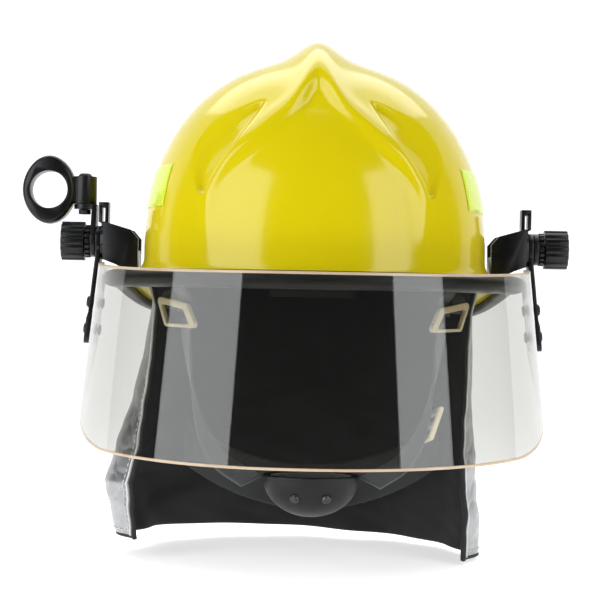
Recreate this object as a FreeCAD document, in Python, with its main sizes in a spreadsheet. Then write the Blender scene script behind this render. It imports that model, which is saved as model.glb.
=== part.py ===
import FreeCAD, Part
import math
import os
import Sketcher

# Firefighter helmet, in millimetres.
# +Z is up, the wearer faces -Y and the wearer's left is +X.  The origin is the centre of the head
# opening, at the height of the lower edge of the brim trim at the front.

DIMENSIONS = [
    ("shell_half_width", 108, "shell, outside, at the base of the dome"),
    ("shell_front", 125, "shell front from the origin"),
    ("shell_rear", 140, "shell rear from the origin"),
    ("dome_base", 20, "height where the dome meets the brim"),
    ("dome_height", 125, "dome above its base, without the comb"),
    ("wall", 3, "moulded wall of the shell"),
    ("comb_height", 12, "crown comb above the dome"),
    ("brim_half_width", 131, "brim edge at the sides"),
    ("brim_front", 139, "brim edge at the front"),
    ("brim_rear", 165, "brim edge at the rear"),
    ("brim_height", 5.5, "middle of the brim edge at the front and sides"),
    ("brim_drop", 17, "how far the brim dips at the rear"),
    ("trim_height", 11, "edge trim, top to bottom"),
    ("liner_gap", 5.5, "shell to impact liner"),
    ("liner_thickness", 13, "impact liner"),
    ("liner_bottom", 32, "lower rim of the impact liner"),
    ("band_half_width", 80, "headband, half width inside"),
    ("band_front", 97, "headband front from the origin"),
    ("band_rear", 106, "headband rear from the origin"),
    ("band_wall", 2, "headband thickness"),
    ("band_low", 8, "headband lower edge"),
    ("band_high", 38, "headband upper edge"),
    ("pad_thickness", 4, "brow and nape pads"),
    ("webbing", 1.4, "webbing thickness"),
    ("cradle_width", 18, "crown strap width"),
    ("cradle_height", 113, "underside of the crown straps at the top"),
    ("pivot_height", 29, "visor pivot above the origin"),
    ("pivot_plate", 133, "inner face of the pivot plates"),
    ("plate_wall", 3, "pivot plates, arms and torch plate"),
    ("plate_gap", 0.4, "free play between neighbours on the pivot"),
    ("bolt_radius", 3, "pivot bolt shank"),
    ("bolt_hole", 3.05, "holes on the pivot bolt"),
    ("bolt_head_radius", 7, "pivot bolt head"),
    ("bolt_head_height", 3.5, "pivot bolt head"),
    ("bolt_length", 23, "pivot bolt shank length"),
    ("eye_radius", 10, "round ends of the arms and plates on the pivot"),
    ("bracket_depth", 30, "bracket, front to rear"),
    ("bracket_hollow", 21, "gap between the bracket's two webs"),
    ("loop_depth", 12, "strap loop on the bracket, front to rear"),
    ("knob_radius", 12.5, "clamping knob"),
    ("knob_length", 14.5, "clamping knob"),
    ("knob_bore_depth", 11, "blind bore in the knob"),
    ("knob_flutes", 14, "finger grooves round the knob"),
    ("washer_radius", 10.5, "toothed washer"),
    ("washer_height", 3, "toothed washer"),
    ("washer_teeth", 18, "teeth on the washer"),
    ("arm_width", 19, "visor arm, front to rear"),
    ("visor_wall", 2, "visor sheet"),
    ("visor_top_half", 136.3, "visor outside half width at the pivot side of its top edge"),
    ("visor_low_half", 149.2, "visor outside half width at its lower edge"),
    ("visor_front", 150, "visor front from the origin"),
    ("visor_low", -102, "lower edge of the visor"),
    ("rivet_radius", 2, "visor rivets"),
    ("ring_bore", 12, "torch ring bore radius"),
    ("ring_length", 15, "torch ring along its bore"),
    ("ring_reach", 22.5, "torch ring centre from its hinge pin"),
    ("barrel_radius", 7.6, "hinge barrel of the torch ring"),
    ("barrel_length", 17.5, "hinge barrel of the torch ring"),
    ("pin_radius", 2, "hinge pin of the torch ring"),
    ("rack_pitch", 3.6, "ratchet tooth pitch"),
    ("rack_teeth", 11, "teeth on each headband tail"),
    ("pinion_teeth", 10, "teeth on the ratchet pinion"),
    ("adjuster_radius", 17, "rear adjusting knob"),
    ("adjuster_length", 12, "rear adjusting knob"),
    ("strap_width", 20, "chin strap webbing"),
    ("cup_half_width", 29, "chin cup"),
    ("curtain_low", -165, "lower hem of the neck curtain"),
    ("curtain_wall", 1.6, "each layer of the neck curtain"),
]

FULLNESS = 2.25         # exponent of the helmet's superellipses, 2 would be an ellipse
SIDES = {"right": -1, "left": 1}
UP = FreeCAD.Vector(0, 0, 1)

doc = FreeCAD.newDocument("FirefighterHelmet")
sheet = doc.addObject("Spreadsheet::Sheet", "Dims")
for row, (alias, value, note) in enumerate(DIMENSIONS, start=1):
    sheet.set(f"A{row}", note)
    sheet.set(f"B{row}", str(value))
    sheet.setAlias(f"B{row}", alias)
doc.recompute()

subparts = []


def dim(alias):
    return float(sheet.get(alias))


def vec(x, y, z):
    return FreeCAD.Vector(x, y, z)


# ---------------------------------------------------------------- document helpers

def keep(obj, label, placement=None):
    """Name a finished sub-part, place it and list it for export."""
    obj.Label = label
    if placement is not None:
        obj.Placement = placement
    subparts.append(obj)
    return obj


def shaped(label, shape, placement=None):
    """A free-form sub-part whose shape Part's own functions made."""
    obj = doc.addObject("Part::Feature", label)
    obj.Shape = shape
    return keep(obj, label, placement)


def primitive(kind, name, sizes, position=None, rotation=None):
    """A Part primitive whose sizes follow the sheet."""
    obj = doc.addObject(kind, name)
    for prop, expression in sizes.items():
        obj.setExpression(prop, expression)
    obj.Placement = FreeCAD.Placement(position or vec(0, 0, 0), rotation or FreeCAD.Rotation())
    return obj


def fused(name, objects):
    obj = doc.addObject("Part::MultiFuse", name)
    obj.Shapes = objects
    return obj


def cut(name, base, tool):
    obj = doc.addObject("Part::Cut", name)
    obj.Base = base
    obj.Tool = tool
    return obj


def new_body(label):
    return doc.addObject("PartDesign::Body", label)


def sketch_on(body, role, name, edges=(), circles=()):
    """A sketch on one of the body's origin planes.  circles: (x, y, alias of the radius)."""
    sketch = body.newObject("Sketcher::SketchObject", name)
    plane = next(feature for feature in body.Origin.OriginFeatures if feature.Role == role)
    sketch.AttachmentSupport = [(plane, "")]
    sketch.MapMode = "FlatFace"
    for edge in edges:
        sketch.addGeometry(edge, False)
    for x, y, alias in circles:
        index = sketch.addGeometry(Part.Circle(vec(x, y, 0), UP, dim(alias)), False)
        constraint = sketch.addConstraint(Sketcher.Constraint("Radius", index, dim(alias)))
        sketch.setExpression(f"Constraints[{constraint}]", f"Dims.{alias}")
    return sketch


def pad(body, name, sketch, length, symmetric=False):
    feature = body.newObject("PartDesign::Pad", name)
    feature.Profile = sketch
    feature.setExpression("Length", length)
    feature.SideType = "Symmetric" if symmetric else "One side"
    return feature


def pocket(body, name, sketch, length):
    feature = body.newObject("PartDesign::Pocket", name)
    feature.Profile = sketch
    feature.setExpression("Length", length)
    feature.SideType = "Symmetric"
    return feature


def polar(body, name, original, sketch, count):
    feature = body.newObject("PartDesign::PolarPattern", name)
    feature.Originals = [original]
    feature.Axis = (sketch, ["N_Axis"])
    feature.Angle = 360
    feature.setExpression("Occurrences", count)
    body.Tip = feature
    return feature


def outline(points, radius=0.0):
    """Closed outline through points in order, each corner rounded by a tangent arc."""
    vectors = [vec(x, y, 0) for x, y in points]
    if not radius:
        return [Part.LineSegment(a, b) for a, b in zip(vectors, vectors[1:] + vectors[:1])]
    corners = []
    for before, corner, after in zip(vectors[-1:] + vectors[:-1], vectors, vectors[1:] + vectors[:1]):
        back = (before - corner).normalize()
        ahead = (after - corner).normalize()
        half = back.getAngle(ahead) / 2
        reach = radius / math.tan(half)
        middle = corner + (back + ahead).normalize() * (radius / math.sin(half) - radius)
        corners.append((corner + back * reach, middle, corner + ahead * reach))
    edges = []
    for (start, middle, end), (following, _, _) in zip(corners, corners[1:] + corners[:1]):
        edges.append(Part.Arc(start, middle, end))
        edges.append(Part.LineSegment(end, following))
    return edges


# ---------------------------------------------------------------- helmet surfaces

def blend(low, high, value):
    """Smooth step from 0 at low to 1 at high."""
    share = min(max((value - low) / (high - low), 0.0), 1.0)
    return share * share * (3 - 2 * share)


SHELL_PLAN = ("shell_half_width", "shell_front", "shell_rear")


def plan_radius(angle, half_width, front, rear):
    """Distance from the axis to a superellipse; the angle runs from the front towards +X."""
    across = abs(math.sin(angle)) / half_width
    along = abs(math.cos(angle)) / (front if math.cos(angle) > 0 else rear)
    return (across ** FULLNESS + along ** FULLNESS) ** (-1 / FULLNESS)


def around(angle, radius, height):
    return vec(radius * math.sin(angle), -radius * math.cos(angle), height)


def dome_profile(angle, polar_angle, inset):
    """Radius, height and outward normal of the plain dome, inset from its outside."""
    radius = plan_radius(angle, *[dim(name) - inset for name in SHELL_PLAN])
    height = dim("dome_height") - inset
    sine, cosine = math.sin(polar_angle), max(math.cos(polar_angle), 0.0)
    scale = (sine ** FULLNESS + cosine ** FULLNESS) ** (-1 / FULLNESS)
    out = (sine * scale) ** (FULLNESS - 1) / radius
    rise = (cosine * scale) ** (FULLNESS - 1) / height
    size = math.hypot(out, rise)
    return radius * sine * scale, dim("dome_base") + height * cosine * scale, out / size, rise / size


def arch_distance(x, z):
    """How far a point of the front lies outside the pointed arch that frames the front panel."""
    arch = 118.4 - 0.893 * x + 4 * math.exp(-(x / 9) ** 2)
    above = (z - arch) / 1.34
    beside = x - 61.5
    softness = 5.0
    return softness * math.log(math.exp(above / softness) + math.exp(beside / softness))


def leaf(x, z):
    """Share of full depth of the leaf-shaped scallop above the arch."""
    along = (x - 31) * 0.517 - (z - 111.7) * 0.857
    across = (x - 31) * 0.857 + (z - 111.7) * 0.517
    if not 0 < along < 67:
        return 0.0
    width = 22 * math.sin(math.pi * (along / 67) ** 1.25) ** 0.6
    return blend(-1, 3, across) * (1 - blend(width * 0.5, width + 1, across))


def relief(x, y, z):
    """Height of the moulded comb, arch ribs and scallops over the plain dome."""
    x = abs(x)
    frontal = blend(10, 45, -y)
    outside = arch_distance(x, z)
    comb = dim("comb_height") * math.exp(-(x / 15.5) ** 1.9) * blend(130, 70, y)
    comb *= 1 - frontal * (1 - blend(-5, 4, outside)) * (1 - blend(106, 134, z))
    reach = 4.5 if outside < 2.5 else 8
    rib = 4.0 * frontal * math.exp(-((outside - 2.5) / reach) ** 2) * blend(15, 80, z)
    return (comb ** 3 + rib ** 3) ** (1 / 3) - 3.4 * frontal * leaf(x, z)


def brim_middle(angle, radius):
    """Height of the middle of the brim's edge."""
    return dim("brim_height") - dim("brim_drop") * blend(10, 115, -radius * math.cos(angle))


BRIM_SLOPE = 0.14       # fall of the brim per millimetre outwards
BRIM_FLAT = 11          # outer stretch of the brim that is straight


def brim_profile(angle, inset, steps=6):
    """Points (radius, height) from the dome's base down and out to the brim's edge."""
    dome = plan_radius(angle, dim("shell_half_width"), dim("shell_front"), dim("shell_rear"))
    edge = plan_radius(angle, dim("brim_half_width"), dim("brim_front"), dim("brim_rear"))
    middle = brim_middle(angle, edge)
    top = middle + dim("wall") / 2
    start = vec(dome, dim("dome_base"), 0)
    flat = vec(edge - BRIM_FLAT, top + BRIM_FLAT * BRIM_SLOPE, 0)
    drop = start.y - flat.y
    reach = flat.x - start.x
    first = start + vec(0, -0.7 * drop, 0)
    second = flat + vec(-0.6 * reach, 0.6 * reach * BRIM_SLOPE, 0)
    points = []
    for step in range(1, steps + 1):
        share = step / steps
        rest = 1 - share
        place = start * rest ** 3 + first * (3 * rest * rest * share)
        place += second * (3 * rest * share ** 2) + flat * share ** 3
        slope = (first - start) * rest ** 2 + (second - first) * (2 * rest * share)
        slope += (flat - second) * share ** 2
        slope.normalize()
        points.append((place.x + slope.y * inset, place.y - slope.x * inset))
    for share in (0.35, 0.7, 0.94):
        points.append((flat.x + BRIM_FLAT * share, flat.y - BRIM_FLAT * share * BRIM_SLOPE - inset))
    return points


def surface_solid(rows, ring=False):
    """Solid inside one cubic B-spline face; each row of control points runs once round the helmet."""
    count = len(rows[0])
    row_mults = [1] * (len(rows) + 1) if ring else [4] + [1] * (len(rows) - 4) + [4]
    surface = Part.BSplineSurface()
    surface.buildFromPolesMultsKnots(rows, row_mults, [1] * (count + 1), list(range(len(row_mults))),
                                     list(range(count + 1)), ring, True, 3, 3)
    solid = Part.Solid(Part.Shell([surface.toShape()]))
    if solid.Volume < 0:
        solid.reverse()
    return solid


def rows_around(columns, profile):
    """Rows of control points from profile(angle), a list of (radius, height) of constant length."""
    angles = [2 * math.pi * column / columns for column in range(columns)]
    strips = [[around(angle, radius, height) for radius, height in profile(angle)] for angle in angles]
    return [list(row) for row in zip(*strips)]


def shell_profile(angle):
    steps = 30
    outer, inner = [], []
    for step in range(steps + 1):
        polar_angle = math.pi / 2 * step / steps
        radius, height, out, rise = dome_profile(angle, polar_angle, 0)
        place = around(angle, radius, height)
        raised = relief(place.x, place.y, place.z)
        outer.append((radius + out * raised, height + rise * raised))
        radius, height, out, rise = dome_profile(angle, polar_angle, dim("wall"))
        inner.append((radius + out * raised * 0.85, height + rise * raised * 0.85))
    edge = plan_radius(angle, dim("brim_half_width"), dim("brim_front"), dim("brim_rear"))
    middle = brim_middle(angle, edge)
    half = dim("wall") / 2
    nose = [(edge, middle + half * 0.7), (edge, middle - half * 0.7)]
    under = brim_profile(angle, dim("wall"))
    return outer + brim_profile(angle, 0) + nose + under[::-1] + inner[::-1]


def build_shell():
    solid = surface_solid(rows_around(120, shell_profile))
    for side in SIDES.values():
        for y in SCREW_PLACES:
            solid = solid.cut(Part.makeCylinder(SCREW_RADIUS + 0.05, 30, vec(side * SCREW_OUT, y, 0), UP))
    shaped("shell", solid)


def build_edge_trim():
    """Channel moulding with a rounded nose; its slot holds the brim edge."""
    half = dim("trim_height") / 2
    slot = dim("wall") / 2 + 0.3
    lip = -9.0
    tip = 3.0

    def profile(angle):
        edge = plan_radius(angle, dim("brim_half_width"), dim("brim_front"), dim("brim_rear"))
        middle = brim_middle(angle, edge)
        section = [(lip, slot - lip * BRIM_SLOPE)] * 3 + [(lip, half - 0.8), (lip + 0.8, half), (-7, half)]
        for step in range(11):
            turn = math.pi / 2 - math.pi * step / 10
            section.append((-5 + (tip + 5) * math.cos(turn), half * math.sin(turn)))
        section += [(-7, -half), (lip + 0.8, -half), (lip, -half + 0.8)]
        section += [(lip, -slot - lip * BRIM_SLOPE)] * 3 + [(-4, -slot + 4 * BRIM_SLOPE)]
        section += [(0.4, -slot)] * 3 + [(0.4, slot)] * 3 + [(-4, slot + 4 * BRIM_SLOPE)]
        return [(edge + out, middle + rise) for out, rise in section]

    shaped("edge_trim", surface_solid(rows_around(96, profile), ring=True))


def build_reflectors():
    """Thin quadrilateral film on each side of the dome."""
    def section(side, angle):
        inner, outer = [], []
        for step in range(5):
            polar_angle = math.radians(64.5 + 3 * step)
            radius, height, out, rise = dome_profile(angle, polar_angle, 0)
            inner.append(around(side * angle, radius + out * 0.3, height + rise * 0.3))
            outer.append(around(side * angle, radius + out * 0.8, height + rise * 0.8))
        return Part.makePolygon(inner + outer[::-1] + inner[:1])

    for name, side in SIDES.items():
        angles = [math.radians(53 + 5 * step) for step in range(10)]
        shaped(f"reflector_{name}", Part.makeLoft([section(side, angle) for angle in angles], True, True))


# ---------------------------------------------------------------- liner and headband

def build_impact_liner():
    """Foam dome between the shell and the crown straps."""
    steps = 18

    def profile(angle):
        outer, inner = [], []
        for step in range(steps + 1):
            polar_angle = math.radians(84.5) * step / steps
            for layer, inset in ((outer, 0), (inner, dim("liner_thickness"))):
                depth = dim("wall") + dim("liner_gap") + inset
                radius, height, _, _ = dome_profile(angle, polar_angle, depth)
                layer.append((radius, height))
        middle = ((outer[-1][0] + inner[-1][0]) / 2, dim("liner_bottom") - 1)
        return outer + [middle] + inner[::-1]

    shaped("impact_liner", surface_solid(rows_around(48, profile)))


def head_radius(angle, outset):
    sizes = [dim(name) + outset for name in ("band_half_width", "band_front", "band_rear")]
    return plan_radius(math.radians(angle), *sizes)


def band_solid(angles, low, high, inner, outer):
    """Upright band round the head between two offsets from the headband's inside."""
    sections = []
    for angle in angles:
        corners = [(inner, low), (outer, low), (outer, high), (inner, high), (inner, low)]
        points = [around(math.radians(angle), head_radius(angle, out), height) for out, height in corners]
        sections.append(Part.makePolygon(points))
    return Part.makeLoft(sections, True, True)


def span(start, end, count):
    return [start + (end - start) * step / (count - 1) for step in range(count)]


def build_headband():
    turns = span(-155, 155, 47)
    shaped("headband", band_solid(turns, dim("band_low"), dim("band_high"), 0, dim("band_wall")))


def build_sweatband():
    shaped("sweatband", band_solid(span(-78, 78, 25), dim("band_low") - 1, dim("band_high") - 1,
                                   -0.4 - dim("pad_thickness"), -0.4))


def build_nape_pad():
    shaped("nape_pad", band_solid(span(157.5, 202.5, 9), dim("band_low") - 4, dim("band_high") - 6,
                                  -0.4 - dim("pad_thickness"), -0.4))


def build_crown_straps():
    """Three webbing bands that cross under the crown, one over the other."""
    straps = []
    for layer, turn in enumerate((0, 60, 120)):
        sections = []
        for tilt in span(-90, 90, 19):
            angle = math.radians(turn if tilt >= 0 else turn + 180)
            lean = math.radians(abs(tilt))
            reach = head_radius(math.degrees(angle), -1)
            rise = dim("cradle_height") - dim("band_high") - 2 + layer * 2.2
            outward = vec(math.sin(angle), -math.cos(angle), 0)
            sideways = vec(math.cos(math.radians(turn)), math.sin(math.radians(turn)), 0)
            middle = outward * (reach * math.sin(lean)) + UP * (dim("band_high") + 2 + rise * math.cos(lean))
            normal = outward * (rise * math.sin(lean)) + UP * (reach * math.cos(lean))
            normal.normalize()
            half = sideways * (dim("cradle_width") / 2)
            thick = normal * dim("webbing")
            corners = [middle - half, middle + half, middle + half + thick, middle - half + thick]
            sections.append(Part.makePolygon(corners + corners[:1]))
        straps.append(Part.makeLoft(sections, True, False))
    shaped("crown_straps", Part.makeCompound(straps))


def build_crown_pad():
    """Soft disc under the crossing of the crown straps."""
    rise = dim("cradle_height") - 9

    def profile(angle):
        rim = plan_radius(angle, 34, 40, 40)
        top = [(rim * share, rise + 5.5 - 4.2 * share ** 2) for share in (0, 0.3, 0.6, 0.85)]
        edge = [(rim, rise + 0.5), (rim, rise - 1.5)]
        return top + edge + [(rim * share, rise + 1.0 - 3 * share ** 2) for share in (0.85, 0.6, 0.3, 0)]

    shaped("crown_pad", surface_solid(rows_around(32, profile)))


def build_hanger_clips():
    """Six moulded blocks that hold the headband inside the shell."""
    clips = []
    for angle in (35, 85, 140, -35, -85, -140):
        sizes = [dim(name) - dim("wall") for name in ("shell_half_width", "shell_front", "shell_rear")]
        edges = (angle - 5, angle, angle + 5)
        inner = max(head_radius(edge, dim("band_wall")) for edge in edges) + 0.4
        outer = min(plan_radius(math.radians(edge), *sizes) for edge in edges) - 0.6
        block = Part.makeBox(outer - inner, 14, 7, vec(inner, -7, 22))
        slot = Part.makeBox(outer - inner - 8, 8, 9, vec(inner + 4, -4, 21))
        clip = block.cut(slot)
        clip.rotate(vec(0, 0, 0), UP, angle - 90)
        clips.append(clip)
    shaped("hanger_clips", Part.makeCompound(clips))


# ---------------------------------------------------------------- rear ratchet adjuster

RATCHET_Y = 112.0       # middle plane of the toothed tails
RATCHET_Z = 12.0        # height of the pinion


def pinion_pitch_radius():
    return dim("rack_pitch") * dim("pinion_teeth") / (2 * math.pi)


def build_ratchet():
    """Housing, two toothed tails, and the knob with its pinion, at the back of the headband."""
    face = FreeCAD.Rotation(vec(1, 0, 0), -90)
    pitch_radius = pinion_pitch_radius()
    place = vec(0, RATCHET_Y, RATCHET_Z)

    block = primitive("Part::Box", "housing_block", {"Length": "60", "Width": "10", "Height": "32"},
                      vec(-30, RATCHET_Y - 5, RATCHET_Z - 16))
    hollow = primitive("Part::Box", "housing_hollow", {"Length": "70", "Width": "5.6", "Height": "25"},
                       vec(-35, RATCHET_Y - 2.8, RATCHET_Z - 12.5))
    bore = primitive("Part::Cylinder", "housing_bore", {"Radius": "4.05", "Height": "10"},
                     vec(0, RATCHET_Y, RATCHET_Z), face)
    keep(cut("ratchet_housing_cut", cut("housing_open", block, hollow), bore), "ratchet_housing")

    teeth = int(dim("pinion_teeth"))
    tooth = dim("rack_pitch")
    root = pitch_radius - 1.15
    gear = Part.makeCylinder(root, 4.4, vec(0, RATCHET_Y - 2.2, RATCHET_Z), vec(0, 1, 0))
    for index in range(teeth):
        angle = 2 * math.pi * index / teeth
        corners = [(-0.3 * tooth, root - 0.6), (0.3 * tooth, root - 0.6),
                   (0.105 * tooth, root + 1.95), (-0.105 * tooth, root + 1.95)]
        points = [vec(x, 0, z) for x, z in corners]
        prism = Part.Face(Part.makePolygon(points + points[:1])).extrude(vec(0, 4.4, 0))
        prism.translate(vec(0, RATCHET_Y - 2.2, RATCHET_Z))
        prism.rotate(place, vec(0, 1, 0), math.degrees(angle))
        gear = gear.fuse(prism)
    shaped("ratchet_pinion", gear.removeSplitter())

    body = new_body("ratchet_knob")
    rim = sketch_on(body, "XY_Plane", "adjuster_rim", circles=[(0, 0, "adjuster_radius")])
    pad(body, "adjuster_disc", rim, "Dims.adjuster_length")
    flute = sketch_on(body, "XY_Plane", "adjuster_flute",
                      edges=[Part.Circle(vec(dim("adjuster_radius") + 1.2, 0, 0), UP, 2.6)])
    doc.recompute()
    groove = pocket(body, "adjuster_groove", flute, "Dims.adjuster_length * 3")
    polar(body, "adjuster_grooves", groove, flute, "Dims.knob_flutes")
    boss = sketch_on(body, "XY_Plane", "adjuster_boss", edges=[Part.Circle(vec(0, 0, 0), UP, 4)])
    stem = pad(body, "adjuster_stem", boss, "3.2")
    stem.Reversed = True
    body.Tip = stem
    keep(body, "ratchet_knob", FreeCAD.Placement(vec(0, RATCHET_Y + 5.4 + 0.2, RATCHET_Z), face))

    for name, side in SIDES.items():
        # the left tail runs above the pinion and the right one below it
        line = side * (pitch_radius + 1.0)
        outer_line = side * (pitch_radius + 5.2)
        end = -5.1 * tooth
        points = [(end, line + side * 0.4)]
        for index in range(int(dim("rack_teeth"))):
            start = (index - 4.5) * tooth
            points += [(start - 0.29 * tooth, line + side * 0.4), (start - 0.1 * tooth, line - side * 1.85)]
            points += [(start + 0.1 * tooth, line - side * 1.85), (start + 0.29 * tooth, line + side * 0.4)]
        points += [(44.0, line + side * 0.4), (44.0, outer_line), (end, outer_line)]
        tail = new_body(f"tail_{name}")
        mirrored = outline([(side * x, z) for x, z in points])
        drawing = sketch_on(tail, "XZ_Plane", f"tail_{name}_outline", edges=mirrored)
        pad(tail, f"tail_{name}_strip", drawing, "4.4", symmetric=True)
        keep(tail, f"tail_{name}", FreeCAD.Placement(place, FreeCAD.Rotation()))


# ---------------------------------------------------------------- visor pivots

SCREW_OUT = 117.5       # bracket screws from the middle plane
SCREW_PLACES = (-12.8, 12.8)
SCREW_RADIUS = 2.0


def turned(side):
    """Rotation that takes a part drawn for the left side to the given side."""
    return FreeCAD.Rotation(UP, 0 if side > 0 else 180)


def outward(side):
    """Rotation that points a part's own +Z away from the helmet at the given side."""
    return turned(side) * FreeCAD.Rotation(vec(0, 1, 0), 90)


def stack_place(side, distance):
    return vec(side * distance, 0, dim("pivot_height"))


def brim_top(out):
    """Height of the brim's top at the side, at a distance out from the middle plane."""
    profile = [(dim("shell_half_width"), dim("dome_base"))] + brim_profile(math.pi / 2, 0)
    for (near, high), (far, low) in zip(profile, profile[1:]):
        if near <= out <= far:
            return high + (low - high) * (out - near) / (far - near)
    return profile[-1][1]


def build_bracket(name, side):
    """Stands on the brim: two webs, a pivot plate and a strap loop above it."""
    body = new_body(f"bracket_{name}_drawing")
    plate = dim("pivot_plate")
    foot = [(out, brim_top(out) + 0.7) for out in (121.4, 118.5, 116, 113.5, 112)]
    fin = foot + [(111.8, 31), (116.5, 36.5), (plate + 1, 41.5),
                  (plate + 1, 17.5), (126, 14.5), (121.4, 12.2)]
    pad(body, f"fin_{name}", sketch_on(body, "XZ_Plane", f"fin_{name}_outline", edges=outline(fin)),
        "Dims.bracket_depth", symmetric=True)
    hollow = [(108, 23.5), (plate, 23.5), (plate, 60), (108, 60)]
    doc.recompute()
    drawing = sketch_on(body, "XZ_Plane", f"web_gap_{name}_outline", edges=outline(hollow))
    pocket(body, f"web_gap_{name}", drawing, "Dims.bracket_hollow")
    height = dim("pivot_height")
    eye = Part.makeCylinder(dim("eye_radius") + 1.5, dim("plate_wall"), vec(plate, 0, height), vec(1, 0, 0))
    loop_outline = [(131.6, 36), (136, 36), (136, 40.4), (137.8, 41.4), (137.8, 54), (131.6, 54)]
    loop = sketch_on(body, "XZ_Plane", f"loop_{name}_outline", edges=outline(loop_outline))
    pad(body, f"loop_{name}", loop, "Dims.loop_depth", symmetric=True)
    slit = [(133.7, 41.5), (135.9, 41.5), (135.9, 50.5), (133.7, 50.5)]
    doc.recompute()
    drawing = sketch_on(body, "XZ_Plane", f"slit_{name}_outline", edges=outline(slit, 0.6))
    slot = pocket(body, f"slit_{name}", drawing, "Dims.bracket_depth")
    body.Tip = slot
    doc.recompute()
    solid = body.Shape.fuse(eye)
    solid = solid.cut(Part.makeCylinder(dim("bolt_hole"), 40, vec(plate - 30, 0, height), vec(1, 0, 0)))
    head_room = Part.makeCylinder(dim("bolt_head_radius") + 0.5, 18, vec(plate - 18, 0, height), vec(1, 0, 0))
    solid = solid.cut(head_room)
    for y in SCREW_PLACES:
        solid = solid.cut(Part.makeCylinder(SCREW_RADIUS + 0.05, 12, vec(SCREW_OUT, y, 5), UP))
    shaped(f"bracket_{name}", solid.removeSplitter(), FreeCAD.Placement(vec(0, 0, 0), turned(side)))


def build_bracket_screws():
    """Four screws that come up through the brim into the brackets."""
    screws = []
    for side in SIDES.values():
        for y in SCREW_PLACES:
            under = brim_top(SCREW_OUT) - dim("wall") - 2.2
            shank = Part.makeCylinder(SCREW_RADIUS, 10, vec(side * SCREW_OUT, y, under), UP)
            head = Part.makeCone(3.0, 3.8, 2.2, vec(side * SCREW_OUT, y, under - 2.2), UP)
            recess = Part.makeBox(4.2, 0.9, 1, vec(side * SCREW_OUT - 2.1, y - 0.45, under - 2.3))
            screws.append(shank.fuse(head).cut(recess).removeSplitter())
    shaped("bracket_screws", Part.makeCompound(screws))


def build_pivot_bolt(name, side):
    start = dim("pivot_plate") - dim("bolt_head_height") - 0.1
    head = primitive("Part::Prism", f"bolt_head_{name}",
                     {"Circumradius": "Dims.bolt_head_radius", "Height": "Dims.bolt_head_height"})
    head.Polygon = 6
    shank = primitive("Part::Cylinder", f"bolt_shank_{name}",
                      {"Radius": "Dims.bolt_radius", "Height": "Dims.bolt_length + Dims.bolt_head_height"})
    keep(fused(f"pivot_bolt_{name}_solid", [head, shank]), f"pivot_bolt_{name}",
         FreeCAD.Placement(stack_place(side, start), outward(side)))


def stack_level(index):
    """Inner face of the part that is index places out from the pivot plate."""
    step = dim("plate_wall") + dim("plate_gap")
    return dim("pivot_plate") + index * step


def build_toothed_washer(name, side):
    body = new_body(f"tooth_washer_{name}")
    circles = [(0, 0, "washer_radius"), (0, 0, "bolt_hole")]
    disc = sketch_on(body, "XY_Plane", f"washer_{name}_disc", circles=circles)
    pad(body, f"washer_{name}_pad", disc, "Dims.washer_height")
    notch = sketch_on(body, "XY_Plane", f"washer_{name}_notch",
                      edges=outline([(8.9, -0.55), (12, -0.95), (12, 0.95), (8.9, 0.55)]))
    doc.recompute()
    gap = pocket(body, f"washer_{name}_gap", notch, "Dims.washer_height * 3")
    polar(body, f"washer_{name}_teeth", gap, notch, "Dims.washer_teeth")
    keep(body, f"tooth_washer_{name}", FreeCAD.Placement(stack_place(side, stack_level(3)), outward(side)))


def build_spacer():
    """Plain washer that fills the left stack where the right one has the torch plate."""
    height = {"Height": "Dims.plate_wall"}
    disc = primitive("Part::Cylinder", "spacer_disc", height | {"Radius": "Dims.eye_radius"})
    hole = primitive("Part::Cylinder", "spacer_hole", height | {"Radius": "Dims.bolt_hole"})
    keep(cut("spacer_cut", disc, hole), "spacer_left",
         FreeCAD.Placement(stack_place(1, stack_level(2)), outward(1)))


def build_knob(name, side):
    body = new_body(f"knob_{name}")
    disc = sketch_on(body, "XY_Plane", f"knob_{name}_disc", circles=[(0, 0, "knob_radius")])
    pad(body, f"knob_{name}_pad", disc, "Dims.knob_length")
    flute = sketch_on(body, "XY_Plane", f"knob_{name}_flute",
                      edges=[Part.Circle(vec(dim("knob_radius") + 1.1, 0, 0), UP, 2.0)])
    doc.recompute()
    groove = pocket(body, f"knob_{name}_groove", flute, "Dims.knob_length * 3")
    polar(body, f"knob_{name}_grooves", groove, flute, "Dims.knob_flutes")
    bore = sketch_on(body, "XY_Plane", f"knob_{name}_bore", circles=[(0, 0, "bolt_hole")])
    doc.recompute()
    hole = pocket(body, f"knob_{name}_hole", bore, "Dims.knob_bore_depth * 2")
    body.Tip = hole
    keep(body, f"knob_{name}", FreeCAD.Placement(stack_place(side, stack_level(4) + 0.2), outward(side)))


# ---------------------------------------------------------------- visor

ARM_LEAN = 0.104        # how far the arm leans out per millimetre down
ARM_BEND = 19.0         # height where the arm starts to lean
ARM_END = -36.0
RIVET_HEIGHTS = (-10.0, -27.0)
LEAN_ANGLE = math.degrees(math.atan(ARM_LEAN))


def arm_inner(height):
    """Inner face of the arm's leaning stretch."""
    return stack_level(1) + ARM_LEAN * (ARM_BEND - height)


def rivet_axis(side):
    return vec(side * math.cos(math.radians(LEAN_ANGLE)), 0, math.sin(math.radians(LEAN_ANGLE)))


def rivet_holes(shape, side):
    for height in RIVET_HEIGHTS:
        centre = vec(side * arm_inner(height), 0, height)
        axis = rivet_axis(side)
        shape = shape.cut(Part.makeCylinder(dim("rivet_radius") + 0.05, 20, centre - axis * 10, axis))
    return shape


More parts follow.
